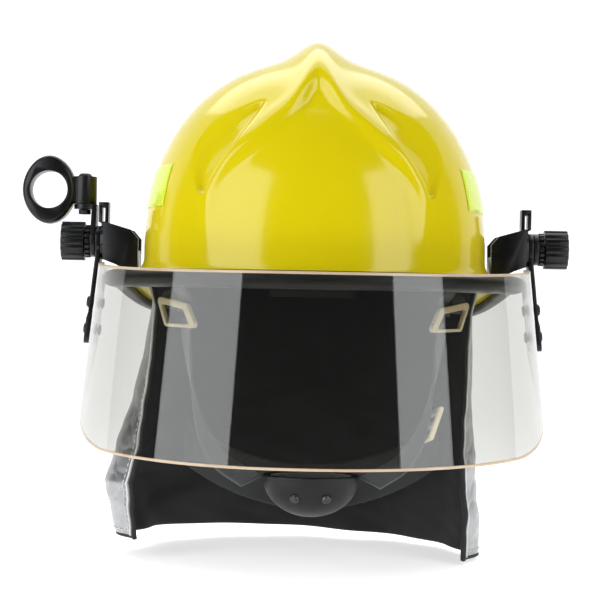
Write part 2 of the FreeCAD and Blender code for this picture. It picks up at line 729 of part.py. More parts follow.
def build_visor_arm(name, side):
    """Flat strip from the pivot down the visor's side edge."""
    body = new_body(f"visor_arm_{name}_drawing")
    inner = stack_level(1)
    wall = dim("plate_wall")
    low = arm_inner(ARM_END)
    top = dim("pivot_height") + dim("eye_radius")
    side_view = [(inner, top), (inner, ARM_BEND), (low, ARM_END), (low + wall + 0.8, ARM_END),
                 (arm_inner(-20) + wall + 0.8, -20), (arm_inner(-16) + wall, -16),
                  (inner + wall, ARM_BEND), (inner + wall, top)]
    drawing = sketch_on(body, "XZ_Plane", f"arm_{name}_side", edges=outline(side_view))
    strip = pad(body, f"arm_{name}_strip", drawing, "Dims.arm_width", symmetric=True)
    body.Tip = strip
    doc.recompute()
    eye = Part.makeCylinder(dim("eye_radius"), 40, vec(inner - 20, 0, dim("pivot_height")), vec(1, 0, 0))
    half = dim("arm_width") / 2
    corners = ((-half, ARM_END), (half, ARM_END), (half, 8), (8, 29), (-8, 29), (-half, 8))
    face = [vec(inner - 20, y, z) for y, z in corners]
    front = Part.Face(Part.makePolygon(face + face[:1])).extrude(vec(60, 0, 0))
    rounding = [edge for edge in front.Edges
                if abs(edge.Length - 60) < 0.01 and edge.Vertexes[0].Z < ARM_END + 1]
    mask = front.makeFillet(5, rounding).fuse(eye)
    solid = body.Shape.common(mask)
    start = vec(inner - 20, 0, dim("pivot_height"))
    solid = solid.cut(Part.makeCylinder(dim("bolt_hole"), 40, start, vec(1, 0, 0)))
    solid = rivet_holes(solid.removeSplitter(), 1)
    shaped(f"visor_arm_{name}", solid, FreeCAD.Placement(vec(0, 0, 0), turned(side)))


def visor_cone(inset):
    """Flaring superelliptic prism that the visor sheet is cut from."""
    wires = []
    slope = (dim("visor_low_half") - dim("visor_top_half")) / (16 - dim("visor_low"))
    for height in (30.0, -112.0):
        across = dim("visor_top_half") + slope * (16 - height) - inset
        along = dim("visor_front") + 0.02 * (16 - height) - inset
        points = [around(math.radians(angle), plan_radius(math.radians(angle), across, along, along), height)
                  for angle in range(-180, 180, 6)]
        curve = Part.BSplineCurve()
        curve.interpolate(points, PeriodicFlag=True)
        wires.append(Part.Wire([curve.toShape()]))
    return Part.makeLoft(wires, True, True)


def build_visor():
    sheet_block = visor_cone(0).cut(visor_cone(dim("visor_wall")))
    low = dim("visor_low")
    rear = 8.0
    corners = [vec(0, rear, 13), vec(0, rear, -38), vec(0, -24, -86), vec(0, -88, low + 5), vec(0, -160, low)]
    rear_curve = Part.BSplineCurve()
    rear_curve.buildFromPoles(corners[1:4], False, 2)
    top_curve = Part.BSplineCurve()
    tip, crest, heel = vec(0, -160, 9.5), vec(0, 4, 15.5), vec(0, rear, 11.5)
    top_curve.buildFromPoles([tip, vec(0, -90, 10), vec(0, -30, 15.5), crest], False, 3)
    edges = [Part.LineSegment(heel, corners[1]), rear_curve, Part.LineSegment(corners[3], corners[4]),
             Part.LineSegment(corners[4], tip), top_curve, Part.LineSegment(crest, heel)]
    wire = Part.Wire([edge.toShape() for edge in edges])
    mask = Part.Face(wire).extrude(vec(400, 0, 0))
    mask.translate(vec(-200, 0, 0))
    solid = sheet_block.common(mask)
    for side in SIDES.values():
        solid = rivet_holes(solid, side)
    shaped("visor", solid)


def build_visor_rivets():
    rivets = []
    for side in SIDES.values():
        for height in RIVET_HEIGHTS:
            axis = rivet_axis(side)
            inner = vec(side * arm_inner(height), 0, height)
            stack = dim("plate_wall") + 0.8 / math.cos(math.radians(LEAN_ANGLE)) + 0.3
            sheet_side = inner - axis * (dim("visor_wall") + 1.3)
            shank = Part.makeCylinder(dim("rivet_radius"), stack + dim("visor_wall") + 1.8, sheet_side, axis)
            outer_head = Part.makeCone(4, 2.8, 1.4, inner + axis * stack, axis)
            inner_head = Part.makeCone(2.8, 4, 1.4, sheet_side - axis * 1.2, axis)
            rivets.append(shank.fuse([outer_head, inner_head]).removeSplitter())
    shaped("visor_rivets", Part.makeCompound(rivets))


# ---------------------------------------------------------------- torch holder, right side

BARREL_OUT = 148.0      # hinge pin from the middle plane
BARREL_BACK = 5.0       # hinge pin behind the pivot
BARREL_LOW = 53.0


def build_torch_plate():
    """Swing plate on the right pivot, with a round-ended shelf that carries the ring's hinge pin."""
    level = -stack_level(2)
    wall = dim("plate_wall")
    height = dim("pivot_height")
    shelf = BARREL_LOW - 0.3
    radius = dim("eye_radius")
    back = BARREL_BACK
    corners = ((-radius, height), (radius, height), (back + 6.8, shelf), (back - 6.8, shelf))
    face = [vec(level, y, z) for y, z in corners]
    plate = Part.Face(Part.makePolygon(face + face[:1])).extrude(vec(-wall, 0, 0))
    eye = Part.makeCylinder(radius, wall, vec(level, 0, height), vec(-1, 0, 0))
    tongue = Part.makeBox(BARREL_OUT + level, 13.6, wall, vec(-BARREL_OUT, back - 6.8, shelf - wall))
    end = Part.makeCylinder(6.8, wall, vec(-BARREL_OUT, back, shelf - wall), UP)
    solid = plate.fuse([eye, tongue, end])
    solid = solid.cut(Part.makeCylinder(dim("bolt_hole"), 40, vec(level + 10, 0, height), vec(-1, 0, 0)))
    solid = solid.cut(Part.makeCylinder(dim("pin_radius") + 0.05, 20, vec(-BARREL_OUT, back, shelf - 10), UP))
    shaped("torch_plate", solid.removeSplitter())


def build_torch_pin():
    """Hinge pin with a low head on top and a nut under the shelf."""
    low = BARREL_LOW - 0.3 - dim("plate_wall")
    base = vec(-BARREL_OUT, BARREL_BACK, low - 3.4)
    nut = primitive("Part::Prism", "torch_pin_nut", {"Circumradius": "4", "Height": "3.2"}, base)
    nut.Polygon = 6
    sizes = {"Radius": "Dims.pin_radius", "Height": "Dims.barrel_length + Dims.plate_wall + 4"}
    shank = primitive("Part::Cylinder", "torch_pin_shank", sizes, base)
    head = primitive("Part::Cone", "torch_pin_head", {"Radius1": "4.6", "Radius2": "3.2", "Height": "1.8"},
                     vec(-BARREL_OUT, BARREL_BACK, BARREL_LOW + dim("barrel_length") + 0.3))
    keep(fused("torch_pin_solid", [nut, shank, head]), "torch_pin")


def build_torch_ring():
    """Ring that grips the torch, with the hinge barrel on its inner side."""
    middle = BARREL_LOW + dim("barrel_length") / 2
    reach = dim("ring_reach")
    half = dim("ring_length") / 2

    def egg(grow, y):
        points = []
        for step in range(24):
            turn = 2 * math.pi * step / 24
            across = (17 + grow) * math.cos(turn)
            up = (21 + grow) * math.sin(turn) * (1 - 0.04 * math.cos(2 * turn))
            points.append(vec(-reach + across, y, up))
        curve = Part.BSplineCurve()
        curve.interpolate(points, PeriodicFlag=True)
        return Part.Wire([curve.toShape()])

    levels = ((-2.5, -half), (-0.4, -half + 1.8), (0, 0), (-0.4, half - 1.8), (-2.5, half))
    ring = Part.makeLoft([egg(grow, y) for grow, y in levels], True, False)
    length = dim("barrel_length")
    barrel = Part.makeCylinder(dim("barrel_radius"), length, vec(0, 0, -length / 2), UP)
    neck = Part.makeBox(11, 12, 15, vec(-13, -6, -7.5))
    solid = ring.fuse([barrel, neck])
    bore = Part.makeCylinder(dim("ring_bore"), 60, vec(-reach, -30, 0), vec(0, 1, 0))
    pin_hole = Part.makeCylinder(dim("pin_radius") + 0.05, 60, vec(0, 0, -30), UP)
    solid = solid.cut(bore).cut(pin_hole).removeSplitter()
    shaped("torch_ring", solid, FreeCAD.Placement(vec(-BARREL_OUT, BARREL_BACK, middle), FreeCAD.Rotation()))


# ---------------------------------------------------------------- chin strap

def smooth(points, share):
    """Place and direction on the smooth curve through the points."""
    curve = Part.BSplineCurve()
    curve.interpolate(points)
    place = curve.FirstParameter + share * (curve.LastParameter - curve.FirstParameter)
    return curve.value(place), curve.tangent(place)[0]


def strap_solid(points, across, width):
    """Flat webbing along the smooth curve through points; across turns evenly between its two ends."""
    sections = []
    for share in span(0, 1, 4 * len(points)):
        middle, ahead = smooth(points, share)
        wanted = across[0] * (1 - share) + across[1] * share
        sideways = (wanted - ahead * wanted.dot(ahead)).normalize() * (width / 2)
        thick = ahead.cross(sideways).normalize() * (dim("webbing") / 2)
        corners = [middle - sideways - thick, middle + sideways - thick,
                   middle + sideways + thick, middle - sideways + thick]
        sections.append(Part.makePolygon(corners + corners[:1]))
    return Part.makeLoft(sections, True, True)


DIVIDER_PLACE = (84.5, -24.0, -16.0)
BRANCH_WIDTH = 13.0     # front and rear branches of the strap
SLIDER_SHARE = 0.5      # place of the slider along the lower strap


def lower_strap(side):
    """Points of the strap from the divider to the chin cup, and its width directions at both ends."""
    points = [vec(side * 79, -29, -29), vec(side * 75.5, -35, -55), vec(side * 68.5, -43, -83),
              vec(side * 56, -54, -104), vec(side * 36, -66, -116)]
    return points, (vec(side * 0.25, 0.95, 0), vec(side * -0.5, 1, 0.4))


def build_chin_strap(name, side):
    """Front and rear branches down to the divider, and the lower strap on to the chin cup."""
    width = dim("strap_width")
    upper = vec(side * 0.3, 1, 0)
    bar = vec(side * 0.7, 0.7, 0)
    front = [vec(side * 88.5, -46, 17), vec(side * 86, -37, 4), vec(side * 82, -26.5, -5.5)]
    rear = [vec(side * 92, 38, 17), vec(side * 89.5, 14, 6),
            vec(side * 88.5, -4, 1), vec(side * 92, -16.5, -3.5)]
    low, low_across = lower_strap(side)
    solids = [strap_solid(front, (upper, bar), BRANCH_WIDTH), strap_solid(rear, (upper, bar), BRANCH_WIDTH),
              strap_solid(low, low_across, width)]
    shaped(f"chin_strap_{name}", Part.makeCompound(solids))


def build_strap_divider(name, side):
    """Open quadrilateral frame where the strap's two branches meet."""
    frame = outline([(-19, 11), (10, 6.5), (20, -9), (-10, -8)], 2.5)
    gap = outline([(-14.6, 6.3), (6.95, 2.9), (13.2, -6.8), (-8.6, -6.2)], 1.2)
    faces = [Part.Face(Part.Wire([edge.toShape() for edge in edges])) for edges in (frame, gap)]
    solid = faces[0].cut(faces[1]).extrude(vec(0, 0, 3))
    upright = FreeCAD.Rotation(vec(1, 0, 0), 90)
    lean = FreeCAD.Rotation(UP, 45 if side > 0 else -45)
    if side > 0:
        solid = solid.mirror(vec(0, 0, 0), vec(1, 0, 0))
    x, y, z = DIVIDER_PLACE
    shaped(f"strap_divider_{name}", solid, FreeCAD.Placement(vec(side * x, y, z), lean * upright))


def build_strap_slider():
    """Tri-glide that sets the length of the left strap."""
    plate = Part.makeBox(27, 3, 22, vec(-13.5, -1.5, -11))
    for low in (-7.5, 1.5):
        plate = plate.cut(Part.makeBox(21, 6, 6, vec(-10.5, -3, low)))
    plate = plate.makeFillet(0.8, [edge for edge in plate.Edges if edge.Length > 20])
    points, across = lower_strap(1)
    middle, ahead = smooth(points, SLIDER_SHARE)
    wanted = across[0] * (1 - SLIDER_SHARE) + across[1] * SLIDER_SHARE
    sideways = (wanted - ahead * wanted.dot(ahead)).normalize()
    outwards = ahead.cross(sideways).normalize()
    if outwards.x < 0:
        outwards = outwards * -1
    lift = dim("webbing") / 2 + 1.5 + 1.4
    shaped("strap_slider", plate,
           FreeCAD.Placement(middle + outwards * lift, FreeCAD.Rotation(sideways, outwards, ahead, "ZXY")))


CUP_PLACE = (0, -66, -113)   # middle of the cup's rim
CUP_DEPTH = 24          # depth and half length of the cup
RIVET_OUT = 9.5         # rivets on the cup's front: half their spacing
RIVET_DROP = 11.2       # and how far below the rim they sit


def build_chin_cup():
    """Moulded bowl under the chin, open at the top, with its foam pad."""
    place = FreeCAD.Placement(vec(*CUP_PLACE), FreeCAD.Rotation())
    half = dim("cup_half_width")

    def bowl(across, along, depth, top):
        rows = []
        for step in range(9):
            turn = math.pi / 2 * step / 8
            rows.append((math.sin(turn), -math.cos(turn)))
        return [(across * out, along * out, depth * low + top) for out, low in rows]

    def cup(across, along, depth, wall, top):
        outer = bowl(across, along, depth, top)
        inner = bowl(across - wall, along - wall, depth - wall, top)[::-1]
        rows = []
        for half_x, half_y, height in outer + inner:
            rows.append([vec(half_x * math.sin(turn), -half_y * math.cos(turn), height)
                         for turn in [2 * math.pi * column / 32 for column in range(32)]])
        return surface_solid(rows)

    shell = cup(half, CUP_DEPTH, CUP_DEPTH, 2.2, 0)
    heads = []
    for x in (-RIVET_OUT, RIVET_OUT):
        y = -CUP_DEPTH * math.sqrt(1 - (x / half) ** 2 - (RIVET_DROP / CUP_DEPTH) ** 2)
        seat = vec(x, y, -RIVET_DROP)
        outwards = vec(x / half ** 2, y / CUP_DEPTH ** 2, -RIVET_DROP / CUP_DEPTH ** 2).normalize()
        shell = shell.cut(Part.makeCylinder(1.6, 6, seat - outwards * 4, outwards))
        heads.append(Part.makeCone(3.2, 2.2, 1.4, seat + outwards * 0.15, outwards))
    shaped("chin_cup", shell, place)
    shaped("cup_pad", cup(half - 2.9, 21.1, 21.1, 5, 2), place)
    shaped("cup_rivets", Part.makeCompound(heads), place)


# ---------------------------------------------------------------- neck curtain

# shares of the way from top radius to hem radius, of the curl, of the right tuck and of the flare
CURTAIN_ROWS = ((0.01, 0, 0, 0), (0.08, 0.5, 0, 0), (0.25, 0.8, 0, 0.2),
                (0.6, 1, 0.8, 0.7), (0.9, 1, 1, 1), (1, 1, 1, 0))
CURTAIN_TOP = 16.0      # upper edge of the curtain, inside the shell
STUD_HEIGHT = 9.0
CURTAIN_START = 86      # plan angles of the two front edges
CURTAIN_END = 274
CURTAIN_CURL = 8.0      # how far the front edges curl inwards
CURTAIN_TUCK = 8.0      # how much more the right front edge turns in lower down
CURTAIN_FLARE = 11.0    # how far the right side stands out above its hem


def curtain_layer(inset):
    """Cloth that hangs from inside the brim round both sides and the rear."""
    wall = dim("curtain_wall")
    gap = dim("wall") + 0.7 + inset
    sections = []
    for angle in span(CURTAIN_START, CURTAIN_END, 41):
        turn = math.radians(angle)
        sideways = math.sin(turn)
        fold = 2.0 * math.cos(turn * 14)
        top = plan_radius(turn, *[dim(name) - gap for name in SHELL_PLAN])
        low = plan_radius(turn, 118 - inset, 124 - inset, 124 - inset) - 9 * sideways + fold
        hem = dim("curtain_low") - 5 * sideways
        edge = min(angle - CURTAIN_START, CURTAIN_END - angle)
        right = max(-sideways, 0)
        edge_share = math.exp(-(edge / 8) ** 2)
        flare = CURTAIN_FLARE * right ** 4
        heights = [CURTAIN_TOP, 4, -12, -45, -90, -125, hem]
        radii = [top]
        for share, curled, tucked, flared in CURTAIN_ROWS:
            curl = (CURTAIN_CURL + right * (3 + CURTAIN_TUCK * tucked)) * curled * edge_share
            radii.append(top + (low - top) * share - curl + flare * flared)
        inner = [around(turn, radius - wall, height) for radius, height in zip(radii, heights)]
        outer = [around(turn, radius, height) for radius, height in zip(radii, heights)]
        sections.append(Part.makePolygon(inner + outer[::-1] + inner[:1]))
    return Part.makeLoft(sections, True, True)


def build_curtain():
    layer_step = dim("curtain_wall") + 0.6
    shaped("curtain_outer", curtain_layer(0))
    shaped("curtain_lining", curtain_layer(layer_step))
    studs = []
    for angle in (92, 130, 160, 200, 230, 268):
        turn = math.radians(angle)
        gap = dim("wall") + 0.7 + layer_step + dim("curtain_wall") + 1.8
        radius = plan_radius(turn, *[dim(name) - gap for name in SHELL_PLAN])
        inward = around(turn, -1, 0)
        studs.append(Part.makeCone(5, 3.5, 1.6, around(turn, radius, STUD_HEIGHT), inward))
    shaped("curtain_studs", Part.makeCompound(studs))


def build_throat_band():
    """Padded cloth that closes the curtain under the chin."""
    sections = []
    for share in span(-1, 1, 15):
        turn = share * math.radians(88)
        x = 80 * math.sin(turn)
        y = 6 - 38 * math.cos(turn)
        z = -122 + 24 * math.sin(turn) ** 2
        tilt = vec(math.sin(turn), -math.cos(turn), 0)
        middle = vec(x, y, z)
        corners = [(-2.5, 15), (2.5, 15), (2.5, -15), (-2.5, -15)]
        points = [middle + tilt * out + UP * rise for out, rise in corners]
        sections.append(Part.makePolygon(points + points[:1]))
    shaped("throat_band", Part.makeLoft(sections, True, False))


# ---------------------------------------------------------------- assembly

def build_all():
    build_shell()
    build_edge_trim()
    build_reflectors()
    build_impact_liner()
    build_crown_straps()
    build_crown_pad()
    build_headband()
    build_sweatband()
    build_nape_pad()
    build_hanger_clips()
    build_ratchet()
    for name, side in SIDES.items():
        build_bracket(name, side)
        build_pivot_bolt(name, side)
        build_toothed_washer(name, side)
        build_knob(name, side)
        build_visor_arm(name, side)
        build_chin_strap(name, side)
        build_strap_divider(name, side)
    build_bracket_screws()
    build_spacer()
    build_visor()
    build_visor_rivets()
    build_torch_plate()
    build_torch_pin()
    build_torch_ring()
    build_strap_slider()
    build_chin_cup()
    build_curtain()
    build_throat_band()


def check_and_export():
    doc.recompute()
    for obj in doc.Objects:
        if "Invalid" in obj.State or "Error" in obj.State:
            raise RuntimeError(f"{obj.Label} failed: {obj.State}")
    for obj in subparts:
        if obj.Shape.isNull() or not obj.Shape.isValid():
            raise RuntimeError(f"{obj.Label} has no valid shape")
        if obj.Shape.Volume <= 0:
            raise RuntimeError(f"{obj.Label} has no volume")
    os.makedirs("parts", exist_ok=True)
    for obj in subparts:
        obj.Shape.exportStep(f"parts/{obj.Label}.step")
        print(f"{obj.Label:22s} {len(obj.Shape.Solids):2d} solids {obj.Shape.Volume / 1000:9.2f} cm3")


build_all()
check_and_export()
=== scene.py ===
import math

import bmesh
import bpy
import numpy as np
from mathutils import Matrix, Vector


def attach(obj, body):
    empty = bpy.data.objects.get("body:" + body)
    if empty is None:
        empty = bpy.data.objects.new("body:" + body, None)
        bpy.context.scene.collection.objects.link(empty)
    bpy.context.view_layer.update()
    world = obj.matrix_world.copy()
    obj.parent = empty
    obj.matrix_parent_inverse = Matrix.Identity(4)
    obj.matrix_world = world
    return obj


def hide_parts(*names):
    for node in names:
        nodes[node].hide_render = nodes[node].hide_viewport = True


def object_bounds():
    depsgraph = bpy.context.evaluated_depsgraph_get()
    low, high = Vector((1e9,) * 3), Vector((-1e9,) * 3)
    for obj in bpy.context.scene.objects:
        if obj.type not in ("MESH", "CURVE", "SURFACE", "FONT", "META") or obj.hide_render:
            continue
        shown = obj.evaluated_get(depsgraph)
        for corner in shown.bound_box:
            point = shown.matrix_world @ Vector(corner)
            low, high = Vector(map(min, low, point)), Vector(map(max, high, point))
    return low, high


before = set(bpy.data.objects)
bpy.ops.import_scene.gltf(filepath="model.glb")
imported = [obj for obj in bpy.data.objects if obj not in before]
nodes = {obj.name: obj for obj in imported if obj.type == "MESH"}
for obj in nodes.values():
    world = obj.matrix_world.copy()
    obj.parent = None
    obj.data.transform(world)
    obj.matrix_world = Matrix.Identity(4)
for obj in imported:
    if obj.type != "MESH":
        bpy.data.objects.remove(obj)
cad_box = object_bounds()

# Firefighter helmet.  Sizes are in millimetres in the CAD part's own frame and become metres in
# mesh_object: +Z up, the wearer faces -Y, +X is the wearer's left.
MM = 0.001
UP = Vector((0, 0, 1))
SIDES = {"right": -1, "left": 1}
scene = bpy.context.scene

FULLNESS = 2.25             # exponent of the helmet's superellipses
SHELL_PLAN = (108, 125, 140)    # half width, front and rear of the dome at its base
BRIM_PLAN = (131, 139, 165)
BAND_PLAN = (80, 97, 106)   # inside of the headband
DOME_BASE = 20
DOME_HEIGHT = 125
WALL = 3
COMB_HEIGHT = 12
BRIM_HEIGHT = 5.5
BRIM_DROP = 17
BRIM_SLOPE = 0.14
BRIM_FLAT = 11
TRIM_HEIGHT = 11
WEBBING_THICKNESS = 1.4
WEBBING_STEP = 1.5          # distance between the rings of a strap's skin
BAND_LOW, BAND_HIGH = 8, 38
ARCH_TOP = 118.4            # pointed arch round the front panel, as seen from the front
ARCH_SLOPE = 0.893
ARCH_STRETCH = 1.34         # upright distance from the sloping arch, over the shortest distance
ARCH_HALF_WIDTH = 61.5
RIB_HEIGHT = 4.0
LEAF_START = (31, 111.7)    # upper end of each scallop, X and Z
LEAF_LEAN = (0.517, 0.857)
LEAF_LENGTH = 67
LEAF_WIDTH = 22
LEAF_DEPTH = 3.4


# -------- helmet surfaces

def smoothstep(low, high, value):
    share = min(max((value - low) / (high - low), 0.0), 1.0)
    return share * share * (3 - 2 * share)


def bell(value, width):
    return math.exp(-(value / width) ** 2)


def bezier(points, share):
    """Place on the cubic curve with four control points."""
    rest = 1 - share
    near = points[0] * rest ** 3 + points[1] * (3 * rest ** 2 * share)
    return near + points[2] * (3 * rest * share ** 2) + points[3] * share ** 3


def plan_angle(point):
    """Degrees round the helmet's axis, from the front towards +X."""
    return math.degrees(math.atan2(point.x, -point.y))


def plan_radius(angle, plan, inset=0.0):
    """Distance from the axis to a superellipse; the angle runs from the front towards +X."""
    half_width, front, rear = (size - inset for size in plan)
    across = abs(math.sin(angle)) / half_width
    along = abs(math.cos(angle)) / (front if math.cos(angle) > 0 else rear)
    return (across ** FULLNESS + along ** FULLNESS) ** (-1 / FULLNESS)


def around(angle, radius, height):
    return Vector((radius * math.sin(angle), -radius * math.cos(angle), height))


def dome_profile(angle, polar, inset):
    """Radius, height and outward normal of the plain dome, inset from its outside."""
    radius = plan_radius(angle, SHELL_PLAN, inset)
    height = DOME_HEIGHT - inset
    sine, cosine = math.sin(polar), max(math.cos(polar), 0.0)
    scale = (sine ** FULLNESS + cosine ** FULLNESS) ** (-1 / FULLNESS)
    out = (sine * scale) ** (FULLNESS - 1) / radius
    rise = (cosine * scale) ** (FULLNESS - 1) / height
    size = math.hypot(out, rise)
    return radius * sine * scale, DOME_BASE + height * cosine * scale, out / size, rise / size


def arch_distance(x, z):
    """How far a point of the front lies outside the pointed arch round the front panel."""
    arch = ARCH_TOP - ARCH_SLOPE * x + 4 * bell(x, 9)
    above = (z - arch) / ARCH_STRETCH
    beside = x - ARCH_HALF_WIDTH
    softness = 5.0
    return softness * math.log(math.exp(above / softness) + math.exp(beside / softness))


def leaf(x, z):
    """Share of full depth of the leaf-shaped scallop above the arch."""
    x, z = x - LEAF_START[0], z - LEAF_START[1]
    along = x * LEAF_LEAN[0] - z * LEAF_LEAN[1]
    across = x * LEAF_LEAN[1] + z * LEAF_LEAN[0]
    if not 0 < along < LEAF_LENGTH:
        return 0.0
    width = LEAF_WIDTH * math.sin(math.pi * (along / LEAF_LENGTH) ** 1.25) ** 0.6
    return smoothstep(-1, 3, across) * (1 - smoothstep(width * 0.5, width + 1, across))


def relief(x, y, z):
    """Height of the moulded comb, arch ribs and scallops over the plain dome."""
    x = abs(x)
    frontal = smoothstep(10, 45, -y)
    outside = arch_distance(x, z)
    comb = COMB_HEIGHT * math.exp(-(x / 15.5) ** 1.9) * smoothstep(130, 70, y)
    comb *= 1 - frontal * (1 - smoothstep(-5, 4, outside)) * (1 - smoothstep(106, 134, z))
    reach = 4.5 if outside < 2.5 else 8
    rib = RIB_HEIGHT * frontal * bell(outside - 2.5, reach) * smoothstep(15, 80, z)
    return (comb ** 3 + rib ** 3) ** (1 / 3) - LEAF_DEPTH * frontal * leaf(x, z)


def brim_middle(angle):
    """Height of the middle of the brim's edge."""
    radius = plan_radius(angle, BRIM_PLAN)
    return BRIM_HEIGHT - BRIM_DROP * smoothstep(10, 115, -radius * math.cos(angle))


def brim_profile(angle, inset, steps):
    """Points (radius, height) from the dome's base down and out to the brim's edge."""
    dome = plan_radius(angle, SHELL_PLAN)
    edge = plan_radius(angle, BRIM_PLAN)
    flat = Vector((edge - BRIM_FLAT, brim_middle(angle) + WALL / 2 + BRIM_FLAT * BRIM_SLOPE))
    start = Vector((dome, DOME_BASE))
    drop, reach = start.y - flat.y, flat.x - start.x
    first = start - Vector((0, 0.7 * drop))
    second = flat + Vector((-0.6 * reach, 0.6 * reach * BRIM_SLOPE))
    points = []
    for step in range(1, steps + 1):
        share = step / steps
        rest = 1 - share
        place = bezier((start, first, second, flat), share)
        slope = (first - start) * rest ** 2 + (second - first) * (2 * rest * share)
        slope += (flat - second) * share ** 2
        slope.normalize()
        points.append((place.x + slope.y * inset, place.y - slope.x * inset))
    for share in (0.25, 0.5, 0.75, 0.94):
        points.append((flat.x + BRIM_FLAT * share, flat.y - BRIM_FLAT * share * BRIM_SLOPE - inset))
    return points


# -------- mesh helpers

def mesh_object(name, points, faces, slots=None):
    """New smooth-shaded object from points in millimetres; slots gives each face's material index."""
    mesh = bpy.data.meshes.new(name)
    mesh.from_pydata([(x * MM, y * MM, z * MM) for x, y, z in points], [], faces)
    mesh.polygons.foreach_set("use_smooth", [True] * len(mesh.polygons))
    if slots:
        mesh.polygons.foreach_set("material_index", slots)
    obj = bpy.data.objects.new(name, mesh)
    scene.collection.objects.link(obj)
    tidy_mesh(obj)
    return obj


def tidy_mesh(obj):
    """Joins points that lie together, drops empty faces and turns all faces outwards."""
    distance = 1e-6
    work = bmesh.new()
    work.from_mesh(obj.data)
    bmesh.ops.remove_doubles(work, verts=work.verts, dist=distance)
    bmesh.ops.dissolve_degenerate(work, edges=work.edges, dist=distance)
    bmesh.ops.recalc_face_normals(work, faces=work.faces)
    work.to_mesh(obj.data)
    work.free()


def grid_faces(rows, columns, ring_rows=False, ring_columns=False, first=0):
    """Quads between rows of points, each row with the same number of columns."""
    faces = []
    for row in range(rows if ring_rows else rows - 1):
        below = (row + 1) % rows
        for column in range(columns if ring_columns else columns - 1):
            beside = (column + 1) % columns
            faces.append((first + row * columns + column, first + row * columns + beside,
                          first + below * columns + beside, first + below * columns + column))
    return faces


def joined(rows):
    return [point for row in rows for point in row]


def rings_object(name, rings, closed=False):
    """Skin over rings of points; with closed, the last ring joins the first, else both ends are capped."""
    columns = len(rings[0])
    faces = grid_faces(len(rings), columns, ring_rows=closed, ring_columns=True)
    if not closed:
        faces.append(tuple(range(columns)))
        faces.append(tuple((len(rings) - 1) * columns + column for column in range(columns)))
    return mesh_object(name, joined(rings), faces)


def turned_object(name, profiles):
    """Closed skin over one profile per plan angle; each profile starts and ends on the axis."""
    points = [point for row in zip(*profiles) for point in row]
    return mesh_object(name, points, grid_faces(len(profiles[0]), len(profiles), ring_columns=True))


def full_turn(count):
    return [2 * math.pi * step / count for step in range(count)]


def span(start, end, count):
    return [start + (end - start) * step / (count - 1) for step in range(count)]


def unwrap(obj, mapping):
    """UVs in metres from a function of each point in millimetres."""
    layer = obj.data.uv_layers.new(name="metres") if not obj.data.uv_layers else obj.data.uv_layers[0]
    places = [mapping(vertex.co / MM) for vertex in obj.data.vertices]
    values = []
    for loop in obj.data.loops:
        u, v = places[loop.vertex_index]
        values += [u * MM, v * MM]
    layer.data.foreach_set("uv", values)


def band_uv(point):
    """Length round the helmet and height, for cloth that stands upright round the head."""
    turn = math.atan2(point.x, -point.y) % (2 * math.pi)
    return turn * 100, point.z


def apply_modifiers(obj):
    """Makes the evaluated mesh the object's own."""
    graph = bpy.context.evaluated_depsgraph_get()
    mesh = bpy.data.meshes.new_from_object(obj.evaluated_get(graph), depsgraph=graph)
    obj.modifiers.clear()
    obj.data = mesh
    mesh.polygons.foreach_set("use_smooth", [True] * len(mesh.polygons))


def finished(obj, body, materials, slot, *replaced):
    """Gives a piece its materials, its body and the CAD nodes that it stands for; slot is not used."""
    if obj.data.materials:
        obj.data.materials.clear()
    for material in materials if isinstance(materials, list) else [materials]:
        obj.data.materials.append(material)
    if replaced:
        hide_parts(*replaced)
    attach(obj, body)
    return obj


def rounded(node, body, material, slot, width):
    """Copy of a rigid CAD node with its sharp edges rounded off, as moulding and machining leave them."""
    obj = bpy.data.objects.new(f"{node}_shown", nodes[node].data.copy())
    scene.collection.objects.link(obj)
    work = bmesh.new()
    work.from_mesh(obj.data)
    bmesh.ops.remove_doubles(work, verts=work.verts, dist=2e-6)
    bmesh.ops.dissolve_limit(work, angle_limit=math.radians(0.5), verts=work.verts, edges=work.edges)
    work.to_mesh(obj.data)
    work.free()
    bevel = obj.modifiers.new("bevel", "BEVEL")
    bevel.width = width * MM
    bevel.segments = 2
    bevel.limit_method = "ANGLE"
    bevel.angle_limit = math.radians(32)
    bevel.use_clamp_overlap = True
    apply_modifiers(obj)
    obj.data.set_sharp_from_angle(angle=math.radians(40))
    finished(obj, body, material, slot, node)


def walker(points):
    """Function that gives the place at a distance along the points, and their whole length."""
    lengths = [0.0]
    for near, far in zip(points, points[1:]):
        lengths.append(lengths[-1] + (far - near).length)

    def at(distance):
        index = min(max(int(np.searchsorted(lengths, distance)), 1), len(points) - 1)
        share = (distance - lengths[index - 1]) / max(lengths[index] - lengths[index - 1], 1e-9)
        return points[index - 1].lerp(points[index], share)

    return at, lengths[-1]


def curve_through(points, count):
    """Evenly spaced places and directions on the smooth curve through a few points."""
    knots = [Vector(point) for point in points]
    padded = [knots[0] * 2 - knots[1]] + knots + [knots[-1] * 2 - knots[-2]]
    fine = []
    for index in range(len(knots) - 1):
        a, b, c, d = padded[index:index + 4]
        for step in range(24):
            t = step / 24
            fine.append(0.5 * (2 * b + (c - a) * t + (2 * a - 5 * b + 4 * c - d) * t ** 2
                               + (3 * b - a - 3 * c + d) * t ** 3))
    fine.append(knots[-1])
    at, length = walker(fine)
    places = [at(distance) for distance in span(0, length, count)]
    ahead = [(places[min(i + 1, count - 1)] - places[max(i - 1, 0)]).normalized() for i in range(count)]
    return places, ahead, length


